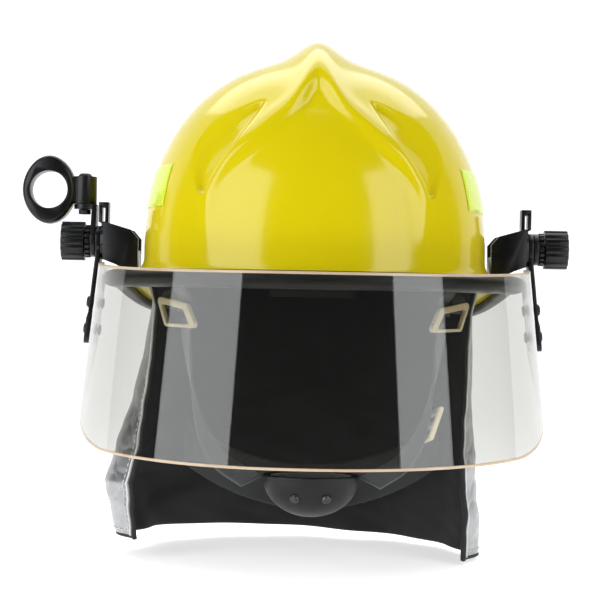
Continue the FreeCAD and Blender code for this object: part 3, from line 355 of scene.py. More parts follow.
def webbing(name, points, across, width):
    """Flat woven strap along a curve, with thick selvedges; its UVs run along and across it in metres."""
    length = curve_through(points, 12)[2]
    count = max(int(length / WEBBING_STEP), 8)
    places, ahead, length = curve_through(points, count)
    half, thin = width / 2, WEBBING_THICKNESS / 2
    section = [(-half, 0), (-half + 0.25, thin * 0.9), (-half + 1.1, thin * 1.15), (-half + 2.0, thin)]
    section += [(0, thin)] + [(-x, y) for x, y in section[::-1]]
    section += [(x, -y) for x, y in section[-2:0:-1]]
    rings, places_uv = [], []
    for index, (place, forward) in enumerate(zip(places, ahead)):
        share = index / (count - 1)
        wanted = Vector(across[0]).lerp(Vector(across[1]), share)
        sideways = (wanted - forward * wanted.dot(forward)).normalized()
        normal = forward.cross(sideways)
        rings.append([place + sideways * x + normal * y for x, y in section])
        places_uv += [(x, length * share) for x, _ in section]
    obj = rings_object(name, rings)
    lookup = {}
    for point, uv in zip(joined(rings), places_uv):
        lookup[tuple(round(c, 2) for c in point)] = uv
    unwrap(obj, lambda point: lookup.get(tuple(round(c, 2) for c in point), (0, 0)))
    return obj


def tube(points, radius, sides):
    """Rings of a round tube along the points."""
    rings = []
    count = len(points)
    normal = None
    for index in range(count):
        ahead = (points[min(index + 1, count - 1)] - points[max(index - 1, 0)]).normalized()
        if normal is None:
            normal = ahead.orthogonal().normalized()
        normal = (normal - ahead * normal.dot(ahead)).normalized()
        side = ahead.cross(normal)
        rings.append([points[index] + (normal * math.cos(turn) + side * math.sin(turn)) * radius
                      for turn in full_turn(sides)])
    return rings


def stitches(name, rows, body, material, slot, radius=0.3, length=2.6, gap=1.2):
    """Thread along rows of points: short rounded strokes that dip at both ends."""
    points, faces = [], []
    for row in rows:
        at, whole = walker(row)
        start = gap / 2
        while start + length < whole:
            line = [at(start + length * share) for share in (0, 0.25, 0.5, 0.75, 1)]
            rings = tube(line, radius, 6)
            for ring, size in zip(rings, (0.35, 0.95, 1.05, 0.95, 0.35)):
                centre = sum(ring, Vector()) / len(ring)
                ring[:] = [centre + (point - centre) * size for point in ring]
            first = len(points)
            points += joined(rings)
            faces += grid_faces(len(rings), 6, ring_columns=True, first=first)
            faces.append(tuple(first + index for index in range(6)))
            faces.append(tuple(first + 24 + index for index in range(6)))
            start += length + gap
    return finished(mesh_object(name, points, faces), body, material, slot)


CLOTH_FRAMES = 20


def puffed(obj, voxel, pressure, cap, pinned):
    """Swells a thin pad by cloth pressure; pinned says how firmly a point (mm) is sewn down, 0 to 1."""
    remesh = obj.modifiers.new("remesh", "REMESH")
    remesh.mode = "VOXEL"
    remesh.voxel_size = voxel * MM
    apply_modifiers(obj)
    rest = np.array([vertex.co for vertex in obj.data.vertices])
    cloth = obj.modifiers.new("cloth", "CLOTH")
    settings = cloth.settings
    settings.use_pressure = True
    settings.uniform_pressure_force = pressure
    settings.effector_weights.gravity = 0
    settings.tension_stiffness = 8.0
    settings.compression_stiffness = 8.0
    settings.bending_stiffness = 0.3
    settings.mass = 0.2
    settings.quality = 5
    cloth.collision_settings.use_self_collision = False
    group = obj.vertex_groups.new(name="sewn")
    for vertex in obj.data.vertices:
        group.add([vertex.index], pinned(vertex.co / MM), "REPLACE")
    settings.vertex_group_mass = "sewn"
    for frame_number in range(1, CLOTH_FRAMES + 1):
        scene.frame_set(frame_number)
    apply_modifiers(obj)
    moved = np.array([vertex.co for vertex in obj.data.vertices]) - rest
    size = np.maximum(np.linalg.norm(moved, axis=1), 1e-9)
    moved *= np.minimum(size, cap * MM)[:, None] / size[:, None]
    obj.data.vertices.foreach_set("co", (rest + moved).ravel())
    scene.frame_set(1)
    smooth = obj.modifiers.new("smooth", "SMOOTH")
    smooth.iterations = 2
    smooth.factor = 0.5
    finer = obj.modifiers.new("finer", "SUBSURF")
    finer.levels = 1
    apply_modifiers(obj)
    obj.vertex_groups.clear()
    return obj


# -------- materials

class Finish:
    """A Principled material with short ways to drive its colour, roughness and bump from noise."""

    def __init__(self, name, colour, roughness, metallic=0.0):
        self.data = bpy.data.materials.new(name)
        self.data.use_nodes = True
        self.tree = self.data.node_tree
        self.shader = self.tree.nodes["Principled BSDF"]
        self.shader.inputs["Base Color"].default_value = (*colour, 1)
        self.shader.inputs["Roughness"].default_value = roughness
        self.shader.inputs["Metallic"].default_value = metallic
        self.last_normal = None

    def add(self, kind, inputs=(), **settings):
        node = self.tree.nodes.new(kind)
        for name, value in settings.items():
            setattr(node, name, value)
        for name, value in dict(inputs).items():
            if isinstance(value, bpy.types.NodeSocket):
                self.tree.links.new(value, node.inputs[name])
            else:
                node.inputs[name].default_value = value
        return node

    def place(self, space):
        return self.add("ShaderNodeTexCoord").outputs[space]

    def noise(self, scale, detail):
        inputs = {"Vector": self.place("Object"), "Scale": scale, "Detail": detail, "Roughness": 0.55}
        return self.add("ShaderNodeTexNoise", inputs).outputs["Fac"]

    def cells(self, scale, feature="F1", jitter=1.0):
        inputs = {"Vector": self.place("Object"), "Scale": scale, "Randomness": jitter}
        return self.add("ShaderNodeTexVoronoi", inputs, feature=feature).outputs["Distance"]

    def maths(self, operation, first, second=0.0):
        return self.add("ShaderNodeMath", {0: first, 1: second}, operation=operation).outputs[0]

    def limits(self, value, low, high, to_low=0.0, to_high=1.0):
        inputs = {"Value": value, "From Min": low, "From Max": high, "To Min": to_low, "To Max": to_high}
        return self.add("ShaderNodeMapRange", inputs).outputs["Result"]

    def patches(self, scale, detail, low, high, to_low=0.0, to_high=1.0):
        """Noise with more contrast, from 0 where it is below low to 1 where it is above high."""
        return self.limits(self.noise(scale, detail), low, high, to_low, to_high)

    def wave(self, axis, period, space="UV"):
        """Sine along one coordinate, with the period in metres."""
        parts = self.add("ShaderNodeSeparateXYZ", {"Vector": self.place(space)})
        scaled = self.maths("MULTIPLY", parts.outputs[axis], 2 * math.pi / period)
        return self.maths("SINE", scaled)

    def colours(self, value, first, second):
        mixed = self.add("ShaderNodeMix", {"Factor": value}, data_type="RGBA")
        mixed.inputs[6].default_value = (*first, 1)
        mixed.inputs[7].default_value = (*second, 1)
        self.tree.links.new(mixed.outputs[2], self.shader.inputs["Base Color"])
        return self

    def roughness(self, value, low, high):
        self.tree.links.new(self.limits(value, 0.0, 1.0, low, high), self.shader.inputs["Roughness"])
        return self

    def bump(self, height, strength, depth_mm):
        inputs = {"Height": height, "Strength": strength, "Distance": depth_mm * MM}
        if self.last_normal:
            inputs["Normal"] = self.last_normal
        node = self.add("ShaderNodeBump", inputs)
        self.last_normal = node.outputs["Normal"]
        self.tree.links.new(self.last_normal, self.shader.inputs["Normal"])
        return self

    def constant(self, **values):
        for name, value in values.items():
            self.shader.inputs[name.replace("_", " ")].default_value = value
        return self


def shell_paint():
    """Glossy yellow lacquer: faint orange peel, a little dust, fine handling scratches."""
    finish = Finish("shell_paint", (0.73, 0.61, 0.004), 0.16)
    finish.constant(Specular_IOR_Level=0.42)
    tone = finish.patches(9, 4, 0.35, 0.7)
    finish.colours(tone, (0.76, 0.62, 0.003), (0.72, 0.575, 0.002))
    finish.roughness(finish.patches(160, 5, 0.4, 0.75), 0.12, 0.22)
    finish.bump(finish.noise(420, 2), 0.05, 0.05)
    return finish.data


def moulded(name, colour, roughness, grain):
    """Moulded plastic: fine spark-eroded grain, with slightly polished patches."""
    finish = Finish(name, colour, roughness)
    finish.constant(Specular_IOR_Level=0.35)
    lighter = tuple(min(channel * 1.6 + 0.004, 1) for channel in colour)
    finish.colours(finish.patches(38, 6, 0.45, 0.85, 0, 0.5), colour, lighter)
    finish.roughness(finish.patches(60, 5, 0.3, 0.7), roughness - 0.08, roughness + 0.1)
    finish.bump(finish.cells(2600), grain, 0.04)
    return finish.data


def cream_nylon():
    finish = Finish("cream_nylon", (0.72, 0.64, 0.43), 0.38)
    finish.constant(Subsurface_Weight=0.15, Subsurface_Scale=0.002)
    finish.colours(finish.patches(50, 5, 0.4, 0.8), (0.74, 0.66, 0.46), (0.66, 0.56, 0.36))
    finish.bump(finish.cells(1800), 0.15, 0.03)
    return finish.data


def rubber():
    """Black trim moulding with a satin bloom."""
    finish = Finish("trim_rubber", (0.018, 0.018, 0.017), 0.42)
    bloom = finish.patches(30, 5, 0.4, 0.8)
    finish.colours(bloom, (0.008, 0.008, 0.007), (0.018, 0.017, 0.015))
    finish.roughness(finish.patches(70, 4, 0.3, 0.7), 0.3, 0.48)
    finish.bump(finish.noise(900, 3), 0.12, 0.05)
    return finish.data


def steel():
    finish = Finish("black_steel", (0.10, 0.10, 0.105), 0.34, metallic=0.9)
    finish.roughness(finish.patches(140, 4, 0.3, 0.7), 0.26, 0.46)
    finish.colours(finish.patches(60, 4, 0.5, 0.85), (0.05, 0.05, 0.052), (0.12, 0.115, 0.11))
    finish.bump(finish.noise(1500, 2), 0.1, 0.02)
    return finish.data


def prism_film():
    """Retroreflective film: a mesh of tiny cube corners with welded cell lines."""
    finish = Finish("prism_film", (0.78, 0.90, 0.08), 0.24)
    finish.constant(Coat_Weight=0.2, Coat_Roughness=0.08)
    cell = finish.cells(560, jitter=0.0)
    finish.colours(finish.limits(cell, 0.25, 0.62), (0.80, 0.95, 0.05), (0.66, 0.82, 0.03))
    finish.bump(cell, 0.5, 0.2)
    finish.bump(finish.wave("Z", 0.0061, "Object"), 0.15, 0.1)
    return finish.data


def woven(name, colour, second, period, depth=0.16, sheen=0.25):
    """Woven cloth or webbing; its UVs are in metres, so the weave keeps its size. Its colour is darker in
    the weave's sunk cells, as painted shade between the threads.
    """
    finish = Finish(name, colour, 0.8)
    finish.constant(Sheen_Weight=sheen, Sheen_Roughness=0.4)
    weave = finish.maths("MULTIPLY", finish.wave("X", period), finish.wave("Y", period))
    faded = finish.patches(45, 5, 0.35, 0.8, 0, 0.3)
    # colour: painted shade in the weave's sunk cells, plus random faded patches
    weave_shade_and_fading = finish.maths("ADD", finish.limits(weave, -1, 1, 0.0, 0.7), faded)
    finish.colours(weave_shade_and_fading, colour, second)
    finish.bump(weave, 0.5, depth)
    finish.bump(finish.noise(90, 4), 0.12, 0.3)
    return finish.data


def aluminised():
    """Silver-faced cloth: fine weave under the foil, and creases that catch the light."""
    finish = Finish("aluminised_cloth", (0.42, 0.43, 0.44), 0.34, metallic=0.85)
    crease = finish.cells(70, "DISTANCE_TO_EDGE")
    soft = finish.noise(120, 5)
    finish.colours(finish.limits(soft, 0.3, 0.75), (0.45, 0.455, 0.46), (0.37, 0.375, 0.385))
    finish.roughness(finish.patches(180, 5, 0.3, 0.7), 0.26, 0.42)
    finish.bump(finish.limits(crease, 0.0, 0.2), 0.4, 0.6)
    finish.bump(soft, 0.4, 0.7)
    finish.bump(finish.maths("MULTIPLY", finish.wave("X", 0.0012), finish.wave("Y", 0.0012)), 0.25, 0.08)
    return finish.data


def foam():
    finish = Finish("liner_foam", (0.045, 0.045, 0.05), 0.85)
    beads = finish.cells(420)
    finish.colours(finish.limits(beads, 0.1, 0.7), (0.055, 0.055, 0.06), (0.03, 0.03, 0.034))
    finish.bump(beads, 0.5, 0.3)
    return finish.data


def thread(name, colour):
    finish = Finish(name, colour, 0.6)
    finish.bump(finish.noise(1800, 3), 0.4, 0.08)
    return finish.data


def visor_sheet():
    """Clear polycarbonate that lets lamps through to what is behind it."""
    finish = Finish("visor_sheet", (0.62, 0.62, 0.585), 0.012)
    finish.constant(Transmission_Weight=1.0, IOR=1.49)
    finish.roughness(finish.patches(25, 5, 0.5, 0.85), 0.008, 0.03)
    clear = finish.add("ShaderNodeBsdfTransparent", {"Color": (0.85, 0.845, 0.81, 1)})
    rays = finish.add("ShaderNodeLightPath")
    mix = finish.add("ShaderNodeMixShader", {0: rays.outputs["Is Shadow Ray"], 1: finish.shader.outputs[0],
                                             2: clear.outputs[0]})
    finish.tree.links.new(mix.outputs[0], finish.tree.nodes["Material Output"].inputs["Surface"])
    return finish.data


def visor_edge_highlight():
    """The sheet's cut edge, painted amber: a painted highlight for the light that comes out of it."""
    finish = Finish("visor_edge_painted_highlight", (0.72, 0.50, 0.22), 0.3)
    finish.constant(Transmission_Weight=0.25, IOR=1.49)
    finish.colours(finish.patches(30, 4, 0.3, 0.7), (0.80, 0.64, 0.45), (0.66, 0.48, 0.32))
    finish.bump(finish.noise(900, 3), 0.2, 0.05)
    return finish.data


PAINT = shell_paint()
TRIM_RUBBER = rubber()
FILM = prism_film()
FOAM = foam()
NYLON = moulded("moulded_nylon", (0.022, 0.022, 0.024), 0.42, 0.25)
BRACKET_PLASTIC = moulded("bracket_plastic", (0.006, 0.006, 0.007), 0.30, 0.15)
CUP_PLASTIC = moulded("cup_plastic", (0.005, 0.005, 0.006), 0.45, 0.1)
CREAM = cream_nylon()
STEEL = steel()
VISOR_SHEET = visor_sheet()
# amber edge material: a painted highlight along the visor's edges
VISOR_EDGE_HIGHLIGHT = visor_edge_highlight()
BLACK_WEBBING = woven("black_webbing", (0.016, 0.016, 0.017), (0.05, 0.05, 0.052), 0.0016, depth=0.3)
GREY_WEBBING = woven("grey_webbing", (0.045, 0.048, 0.055), (0.10, 0.105, 0.115), 0.0016, depth=0.3)
PAD_CLOTH = woven("pad_cloth", (0.018, 0.018, 0.02), (0.045, 0.045, 0.048), 0.0010, sheen=0.4)
LINING_CLOTH = woven("lining_cloth", (0.009, 0.009, 0.010), (0.022, 0.022, 0.024), 0.0009,
                     depth=0.1, sheen=0.05)
SILVER_CLOTH = aluminised()
BLACK_THREAD = thread("black_thread", (0.05, 0.05, 0.052))
WHITE_THREAD = thread("white_thread", (0.72, 0.72, 0.70))


# -------- shell, trim and film

def make_shell():
    """Moulded dome with its comb, arch ribs, scallops and flared brim, as one closed skin."""
    columns, outer_steps, inner_steps = 420, 150, 50
    strips = []
    for angle in full_turn(columns):
        outer, inner = [], []
        for step in range(outer_steps + 1):
            radius, height, out, rise = dome_profile(angle, math.pi / 2 * step / outer_steps, 0)
            raised = relief(*around(angle, radius, height))
            outer.append((radius + out * raised, height + rise * raised))
        for step in range(inner_steps + 1):
            polar = math.pi / 2 * step / inner_steps
            radius, height, _, _ = dome_profile(angle, polar, 0)
            raised = relief(*around(angle, radius, height)) * 0.85
            radius, height, out, rise = dome_profile(angle, polar, WALL)
            inner.append((radius + out * raised, height + rise * raised))
        edge = plan_radius(angle, BRIM_PLAN)
        middle = brim_middle(angle)
        nose = [(edge, middle + WALL * 0.35), (edge, middle - WALL * 0.35)]
        profile = outer + brim_profile(angle, 0, 14) + nose
        profile += brim_profile(angle, WALL, 8)[::-1] + inner[::-1]
        strips.append([around(angle, radius, height) for radius, height in profile])
    finished(turned_object("shell_shown", strips), "helmet", PAINT, "shell_yellow", "shell")


def make_trim():
    """Channel moulding with a rounded nose over the brim's edge."""
    half = TRIM_HEIGHT / 2
    slot = WALL / 2 + 0.3
    rings = []
    for angle in full_turn(300):
        edge = plan_radius(angle, BRIM_PLAN)
        middle = brim_middle(angle)
        section = [(-9, slot + 9 * BRIM_SLOPE), (-9, half - 1), (-8.8, half - 0.5)]
        section += [(-8.3, half - 0.1), (-7.5, half)]
        for step in range(13):
            turn = math.pi / 2 - math.pi * step / 12
            section.append((-5 + 8 * math.cos(turn), half * math.sin(turn)))
        section += [(-7.5, -half), (-8.3, -half + 0.1), (-8.8, -half + 0.5), (-9, -half + 1)]
        section += [(-9, -slot + 9 * BRIM_SLOPE), (-4, -slot + 4 * BRIM_SLOPE), (0.4, -slot), (0.4, slot)]
        section.append((-4, slot + 4 * BRIM_SLOPE))
        rings.append([around(angle, edge + out, middle + rise) for out, rise in section])
    trim = rings_object("edge_trim_shown", rings, closed=True)
    finished(trim, "helmet", TRIM_RUBBER, "trim_black", "edge_trim")


FILM_POLAR = (64.5, 76.5)   # degrees down from the crown
FILM_ANGLES = (53, 98)      # degrees round from the front


def make_reflectors():
    """Quadrilateral film on each side of the dome, raised a little inside a thin bevelled rim."""
    rows, columns = 34, 90
    for name, side in SIDES.items():
        points = []
        for row, polar in enumerate(span(*FILM_POLAR, rows)):
            for column, degrees in enumerate(span(*FILM_ANGLES, columns)):
                angle = math.radians(degrees)
                near = min(row, rows - 1 - row, column, columns - 1 - column)
                lift = 0.25 + 0.5 * min(near / 2.0, 1.0)
                radius, height, out, rise = dome_profile(angle, math.radians(polar), 0)
                points.append(around(side * angle, radius + out * lift, height + rise * lift))
        film = mesh_object(f"reflector_{name}_shown", points, grid_faces(rows, columns))
        finished(film, "helmet", FILM, "film_lime", f"reflector_{name}")


# -------- liner and harness

LINER_OUTSIDE = 8.5         # depths below the outside of the dome
LINER_INSIDE = 21.5


def make_liner():
    """Moulded foam dome with air channels inside and a rounded lower rim."""
    columns, steps = 180, 44
    strips = []
    for angle in full_turn(columns):
        outer, inner = [], []
        for step in range(steps + 1):
            polar = math.radians(84.5) * step / steps
            channel = bell(math.sin(angle * 4), 0.28) * smoothstep(0.25, 0.5, polar)
            channel = max(channel, bell(polar - 0.95, 0.07))
            radius, height, _, _ = dome_profile(angle, polar, LINER_OUTSIDE)
            outer.append((radius, height))
            radius, height, out, rise = dome_profile(angle, polar, LINER_INSIDE)
            inner.append((radius + out * 3.5 * channel, height + rise * 3.5 * channel))
        last, first = outer[-1], inner[-1]
        middle = ((last[0] + first[0]) / 2, (last[1] + first[1]) / 2)
        reach = (last[0] - first[0]) / 2
        rim = []
        for step in range(1, 8):
            turn = math.pi * step / 8
            rim.append((middle[0] + reach * math.cos(turn), middle[1] - 1.5 * math.sin(turn)))
        strips.append([around(angle, radius, height) for radius, height in outer + rim + inner[::-1]])
    liner = turned_object("impact_liner_shown", strips)
    finished(liner, "helmet", FOAM, "foam_grey", "impact_liner")


def band_point(angle, outset, height):
    return around(math.radians(angle), plan_radius(math.radians(angle), BAND_PLAN, -outset), height)


def pad_block(name, start, end, low, high, inner, outer, columns):
    """Thin lens-edged band that cloth pressure will fill."""
    middle = (inner + outer) / 2
    section = []
    for height, thickness in ((low, 0.3), (low + 1.5, 1.0), (high - 1.5, 1.0), (high, 0.3)):
        section.append((middle + thickness, height))
    section += [(2 * middle - out, height) for out, height in section[::-1]]
    rings = []
    for angle in span(start, end, columns):
        rings.append([band_point(angle, out, height) for out, height in section])
    return rings_object(name, rings)


def make_sweatband():
    """Padded brow band, sewn through into channels, with a binding along both edges."""
    start, end, low, high = -78, 78, BAND_LOW - 1, BAND_HIGH - 1
    seams = [start + 13 * step for step in range(13)]
    block = pad_block("sweatband_shown", start, end, low, high, -4.2, -0.7, 90)

    def sewn(point):
        angle = plan_angle(point)
        nearest = min(abs(angle - seam) for seam in seams) * 1.6
        edge = min(point.z - low, high - point.z)
        return max(bell(nearest, 1.0), bell(max(edge, 0), 1.4))

    pad = puffed(block, 1.7, 5.0, 1.5, sewn)
    for vertex in pad.data.vertices:
        point = vertex.co / MM
        angle = plan_angle(point)
        nearest = min(abs(angle - seam) for seam in seams[1:-1]) * 1.6
        sunk = 0.8 * bell(nearest, 0.9) * smoothstep(0, 5, min(point.z - low, high - point.z))
        radius = math.hypot(point.x, point.y)
        inside = radius < plan_radius(math.radians(angle), BAND_PLAN, 2.4)
        vertex.co *= 1 + (sunk if inside else 0) / radius
    unwrap(pad, band_uv)
    finished(pad, "helmet", PAD_CLOTH, "pad_black", "sweatband")
    rows = []
    for seam in seams[1:-1]:
        rows.append([band_point(seam, -4.3, height) for height in span(low + 4, high - 4, 12)])
    for height in (low + 2.6, high - 2.6):
        rows.append([band_point(angle, -3.9, height) for angle in span(start + 1, end - 1, 120)])
    stitches("sweatband_stitches", rows, "helmet", BLACK_THREAD, "pad_black")
    for place, height in (("low", low), ("high", high)):
        line = [band_point(angle, -2.4, height) for angle in span(start, end, 130)]
        binding = rings_object(f"sweatband_binding_{place}", tube(line, 1.1, 10))
        unwrap(binding, band_uv)
        finished(binding, "helmet", PAD_CLOTH, "pad_black")


def make_nape_pad():
    """Padded rest at the back of the head, quilted in two rows."""
    start, end, low, high = 157.5, 202.5, BAND_LOW - 4, BAND_HIGH - 6
    block = pad_block("nape_pad_shown", start, end, low, high, -4.2, -0.7, 30)
    seams = (start + 15, start + 30)

    def sewn(point):
        angle = plan_angle(point) % 360
        nearest = min(abs(angle - seam) for seam in seams) * 1.8
        edge = min(point.z - low, high - point.z, (angle - start) * 1.8, (end - angle) * 1.8)
        return max(bell(nearest, 1.1), bell(max(edge, 0), 1.5))

    pad = puffed(block, 1.7, 5.0, 1.5, sewn)
    unwrap(pad, band_uv)
    finished(pad, "helmet", PAD_CLOTH, "pad_black", "nape_pad")
    rows = [[band_point(seam, -3.6, height) for height in span(low + 3, high - 3, 10)] for seam in seams]
    stitches("nape_pad_stitches", rows, "helmet", BLACK_THREAD, "pad_black")


CROWN_TOP = 113             # height of the lowest crown strap where the straps cross
CROWN_PAD_PLAN = (32, 38, 38)


def crown_path(turn, layer, count):
    """Middle of a crown strap from the headband over the head and down the other side."""
    places = []
    for tilt in span(-90, 90, count):
        angle = math.radians(turn if tilt >= 0 else turn + 180)
        lean = math.radians(abs(tilt))
        reach = plan_radius(angle, BAND_PLAN, 1)
        rise = CROWN_TOP - BAND_HIGH - 2 + layer * 2.2
        place = around(angle, reach * math.sin(lean), BAND_HIGH + 2 + rise * math.cos(lean))
        places.append(place + UP * 0.7)
    return places


def make_crown_straps():
    """Three webbing bands that cross under the crown, each sewn back on itself above the headband."""
    for layer, turn in enumerate((0, 60, 120)):
        radians = math.radians(turn)
        sideways = Vector((math.cos(radians), math.sin(radians), 0))
        path = crown_path(turn, layer, 25)
        strap = webbing(f"crown_strap_{layer + 1}", path, (sideways, sideways), 18)
        finished(strap, "helmet", BLACK_WEBBING, "webbing_black", *(["crown_straps"] if layer == 0 else []))
        rows = []
        for end in (path[1:4], path[-4:-1]):
            line, _, _ = curve_through(end, 12)
            inward = Vector((-line[0].x, -line[0].y, 0)).normalized() * 0.85
            for offset in (-5.5, 5.5):
                rows.append([place + sideways * offset + inward for place in line])
            for place in (line[0], line[-1]):
                rows.append([place + sideways * offset + inward for offset in span(-5.5, 5.5, 8)])
        stitches(f"crown_strap_{layer + 1}_stitches", rows, "helmet", BLACK_THREAD, "webbing_black",
                 radius=0.25, length=1.8, gap=0.8)


def make_crown_pad():
    """Soft disc under the crossing straps, tufted by one ring of stitches."""
    rise = CROWN_TOP - 9

    def ring(share, height, columns=48):
        return [around(angle, plan_radius(angle, CROWN_PAD_PLAN) * share, rise + height)
                for angle in full_turn(columns)]

    rings = ((0.03, 0, 1.6), (0.35, 0, 1.5), (0.7, 0, 1.2), (0.93, 0, 0.8), (1.0, 0.25, 0.5))
    rows = [ring(share, low) for share, low, _ in rings]
    rows += [ring(share, high) for share, _, high in rings[::-1]]
    block = rings_object("crown_pad_shown", rows)

    def sewn(point):
        reach = math.hypot(point.x / CROWN_PAD_PLAN[0], point.y / CROWN_PAD_PLAN[1])
        return max(bell((1 - reach) * 14, 1), 0.9 * bell((reach - 0.5) * 14, 1))

    pad = puffed(block, 2.0, 4.0, 2.6, sewn)
    unwrap(pad, lambda point: (point.x, point.y))
    finished(pad, "helmet", PAD_CLOTH, "pad_black", "crown_pad")
    seam = ring(0.5, -0.35, 80)
    stitches("crown_pad_stitches", [seam + seam[:1]], "helmet", BLACK_THREAD, "pad_black")


# -------- visor

VISOR_TOP = 16
VISOR_TOP_HALF = 136.3      # outside half widths at VISOR_TOP and at VISOR_LOW
VISOR_LOW_HALF = 149.2
VISOR_FRONT = 150
VISOR_LOW = -102
VISOR_REAR = 8.0
VISOR_WALL = 2.0
VISOR_STEPS = 40
EDGE_GLOW = 1.0             # width of the strip along the sheet's edges painted amber as a bright line, a painted highlight
EDGE_FRONT = -160           # Y where the curve of the sheet's edges starts, ahead of the sheet
SWEEP_FRONT = -88           # Y where the lower edge starts to sweep up to the arms


def visor_radius(angle, height, inset):
    drop = VISOR_TOP - height
    slope = (VISOR_LOW_HALF - VISOR_TOP_HALF) / (VISOR_TOP - VISOR_LOW)
    across = VISOR_TOP_HALF + slope * drop - inset
    along = VISOR_FRONT + 0.02 * drop - inset
    return plan_radius(angle, (across, along, along))


def visor_top(y):
    """Height of the sheet's upper edge."""
    if y > 4:
        return 15.5 - (y - 4)
    low, high = 0.0, 1.0
    for _ in range(24):
        middle = (low + high) / 2
        low, high = (middle, high) if bezier((EDGE_FRONT, -90, -30, 4), middle) < y else (low, middle)
    return bezier((9.5, 10, 15.5, 15.5), low)


def visor_bottom(y):
    """Height of the sheet's lower edge, which sweeps up to the arms at the sides."""
    if y < SWEEP_FRONT:
        return VISOR_LOW + 5 * (y - EDGE_FRONT) / (SWEEP_FRONT - EDGE_FRONT)
    t = (-64 + math.sqrt(4096 + 128 * (VISOR_REAR - y))) / 64
    return -38 - 96 * t + 37 * t * t


def visor_heights(high, low):
    """Heights down the sheet, with a narrow first and last step for the edges painted amber as a highlight.
    """
    inside = span(high - EDGE_GLOW, low + EDGE_GLOW, VISOR_STEPS - 1)
    return [high] + inside + [low]


def visor_front_column(angle, inset):
    """Points down the sheet at one plan angle."""
    plain_y = -visor_radius(angle, -40, inset) * math.cos(angle)
    heights = visor_heights(visor_top(plain_y), visor_bottom(plain_y))
    return [around(angle, visor_radius(angle, height, inset), height) for height in heights]


def visor_side_column(y, inset):
    """Points down the sheet at one distance behind the front."""
    points = []
    for height in visor_heights(visor_top(y), visor_bottom(y)):
        angle = math.pi / 2
        for _ in range(30):
            radius = visor_radius(angle, height, inset)
            wrong = -radius * math.cos(angle) - y
            angle -= wrong / radius
            angle = min(max(angle, 0.0), math.pi * 0.6)
        points.append(around(angle, radius, height))
    return points


def rounded_edge(outer, inner, way):
    """Three points over the sheet's cut edge, which rounds it off upwards or downwards."""
    across = (inner - outer) / 2
    return [outer + across * 0.3 + UP * way * 0.4, outer + across + UP * way * 0.55,
            inner - across * 0.3 + UP * way * 0.4]


def make_visor():
    """Clear sheet with rounded edges, painted amber as a highlight."""
    steps = VISOR_STEPS
    front_angles = span(0, math.radians(70), 84)
    seam_y = -visor_radius(front_angles[-1], -40, 0) * math.cos(front_angles[-1])
    columns = [(visor_front_column, angle) for angle in front_angles[:-1]]
    columns += [(visor_side_column, y) for y in span(seam_y, VISOR_REAR, 60)]
    half = []
    for column, place in columns:
        outer, inner = (column(place, inset) for inset in (0.0, VISOR_WALL))
        crest = rounded_edge(outer[0], inner[0], 1)
        sole = rounded_edge(outer[-1], inner[-1], -1)
        half.append(outer + sole + inner[::-1] + crest[::-1])
    mirrored = [[Vector((-p.x, p.y, p.z)) for p in ring] for ring in half[:0:-1]]
    rings = mirrored + half
    around_edge = len(rings[0])
    faces = grid_faces(len(rings), around_edge, ring_columns=True)
    slots = []
    for face in faces:
        place = face[0] % around_edge
        in_outer = 1 <= place < steps - 1
        in_inner = steps + 5 <= place < 2 * steps + 3
        # slot 1 takes the edge material, painted amber as a highlight
        slots.append(0 if in_outer or in_inner else 1)
    for first in (0, (len(rings) - 1) * around_edge):
        loop = [first + index for index in range(around_edge)]
        for step in range(steps):
            opposite = 2 * steps + 4 - step
            faces.append((loop[step], loop[step + 1], loop[opposite - 1], loop[opposite]))
            slots.append(1)
        faces.append(tuple(loop[steps:steps + 5]))
        faces.append(tuple([loop[0]] + loop[2 * steps + 4:]))
        slots += [1, 1]
    visor = mesh_object("visor_shown", joined(rings), faces, slots)
    finished(visor, "visor", [VISOR_SHEET, VISOR_EDGE_HIGHLIGHT], "visor_clear", "visor")


# -------- chin strap and cup

DIVIDER = Vector((84.5, -24, -16))
CUP = Vector((0, -66, -113))


def at_divider(side, along, outwards, rise):
    """Point in a divider's own directions: along its bars, out of its back face, and up."""
    turned = math.sqrt(0.5)
    x = DIVIDER.x + turned * (along + outwards)
    return (side * x, DIVIDER.y + turned * (along - outwards), DIVIDER.z + rise)


def make_chin_straps():
    """Grey webbing: two branches down behind each divider's bars and one strap on to the cup."""
    for name, side in SIDES.items():
        upper = (side * 0.3, 1, 0)
        bar = (side * 0.7, 0.7, 0)
        front = [(side * 88.5, -46, 17), (side * 86, -37, 4)]
        front += [at_divider(side, -3.5, -1.3, rise) for rise in (10, 6, 1)]
        rear = [(side * 92, 38, 17), (side * 89.5, 14, 6), (side * 88.5, -4, 1)]
        rear += [at_divider(side, 10.6, -1.5, rise) for rise in (12, 8, 3)]
        low = [at_divider(side, -7.4, -1.5, rise) for rise in (-3, -8)]
        low += [(side * 79, -29, -29), (side * 75.5, -35, -55), (side * 68.5, -43, -83),
                (side * 56, -54, -104), (side * 36, -66, -116)]
        ends = ((side * 0.4, 0.9, 0), (side * -0.5, 1, 0.4))
        branches = [(part, route, (upper, bar), 13) for part, route in (("front", front), ("rear", rear))]
        branches.append(("low", low, ends, 20))
        for part, route, across, width in branches:
            strap = webbing(f"chin_strap_{name}_{part}", route, across, width)
            replaced = [f"chin_strap_{name}"] if part == "low" else []
            finished(strap, "helmet", GREY_WEBBING, "webbing_grey", *replaced)


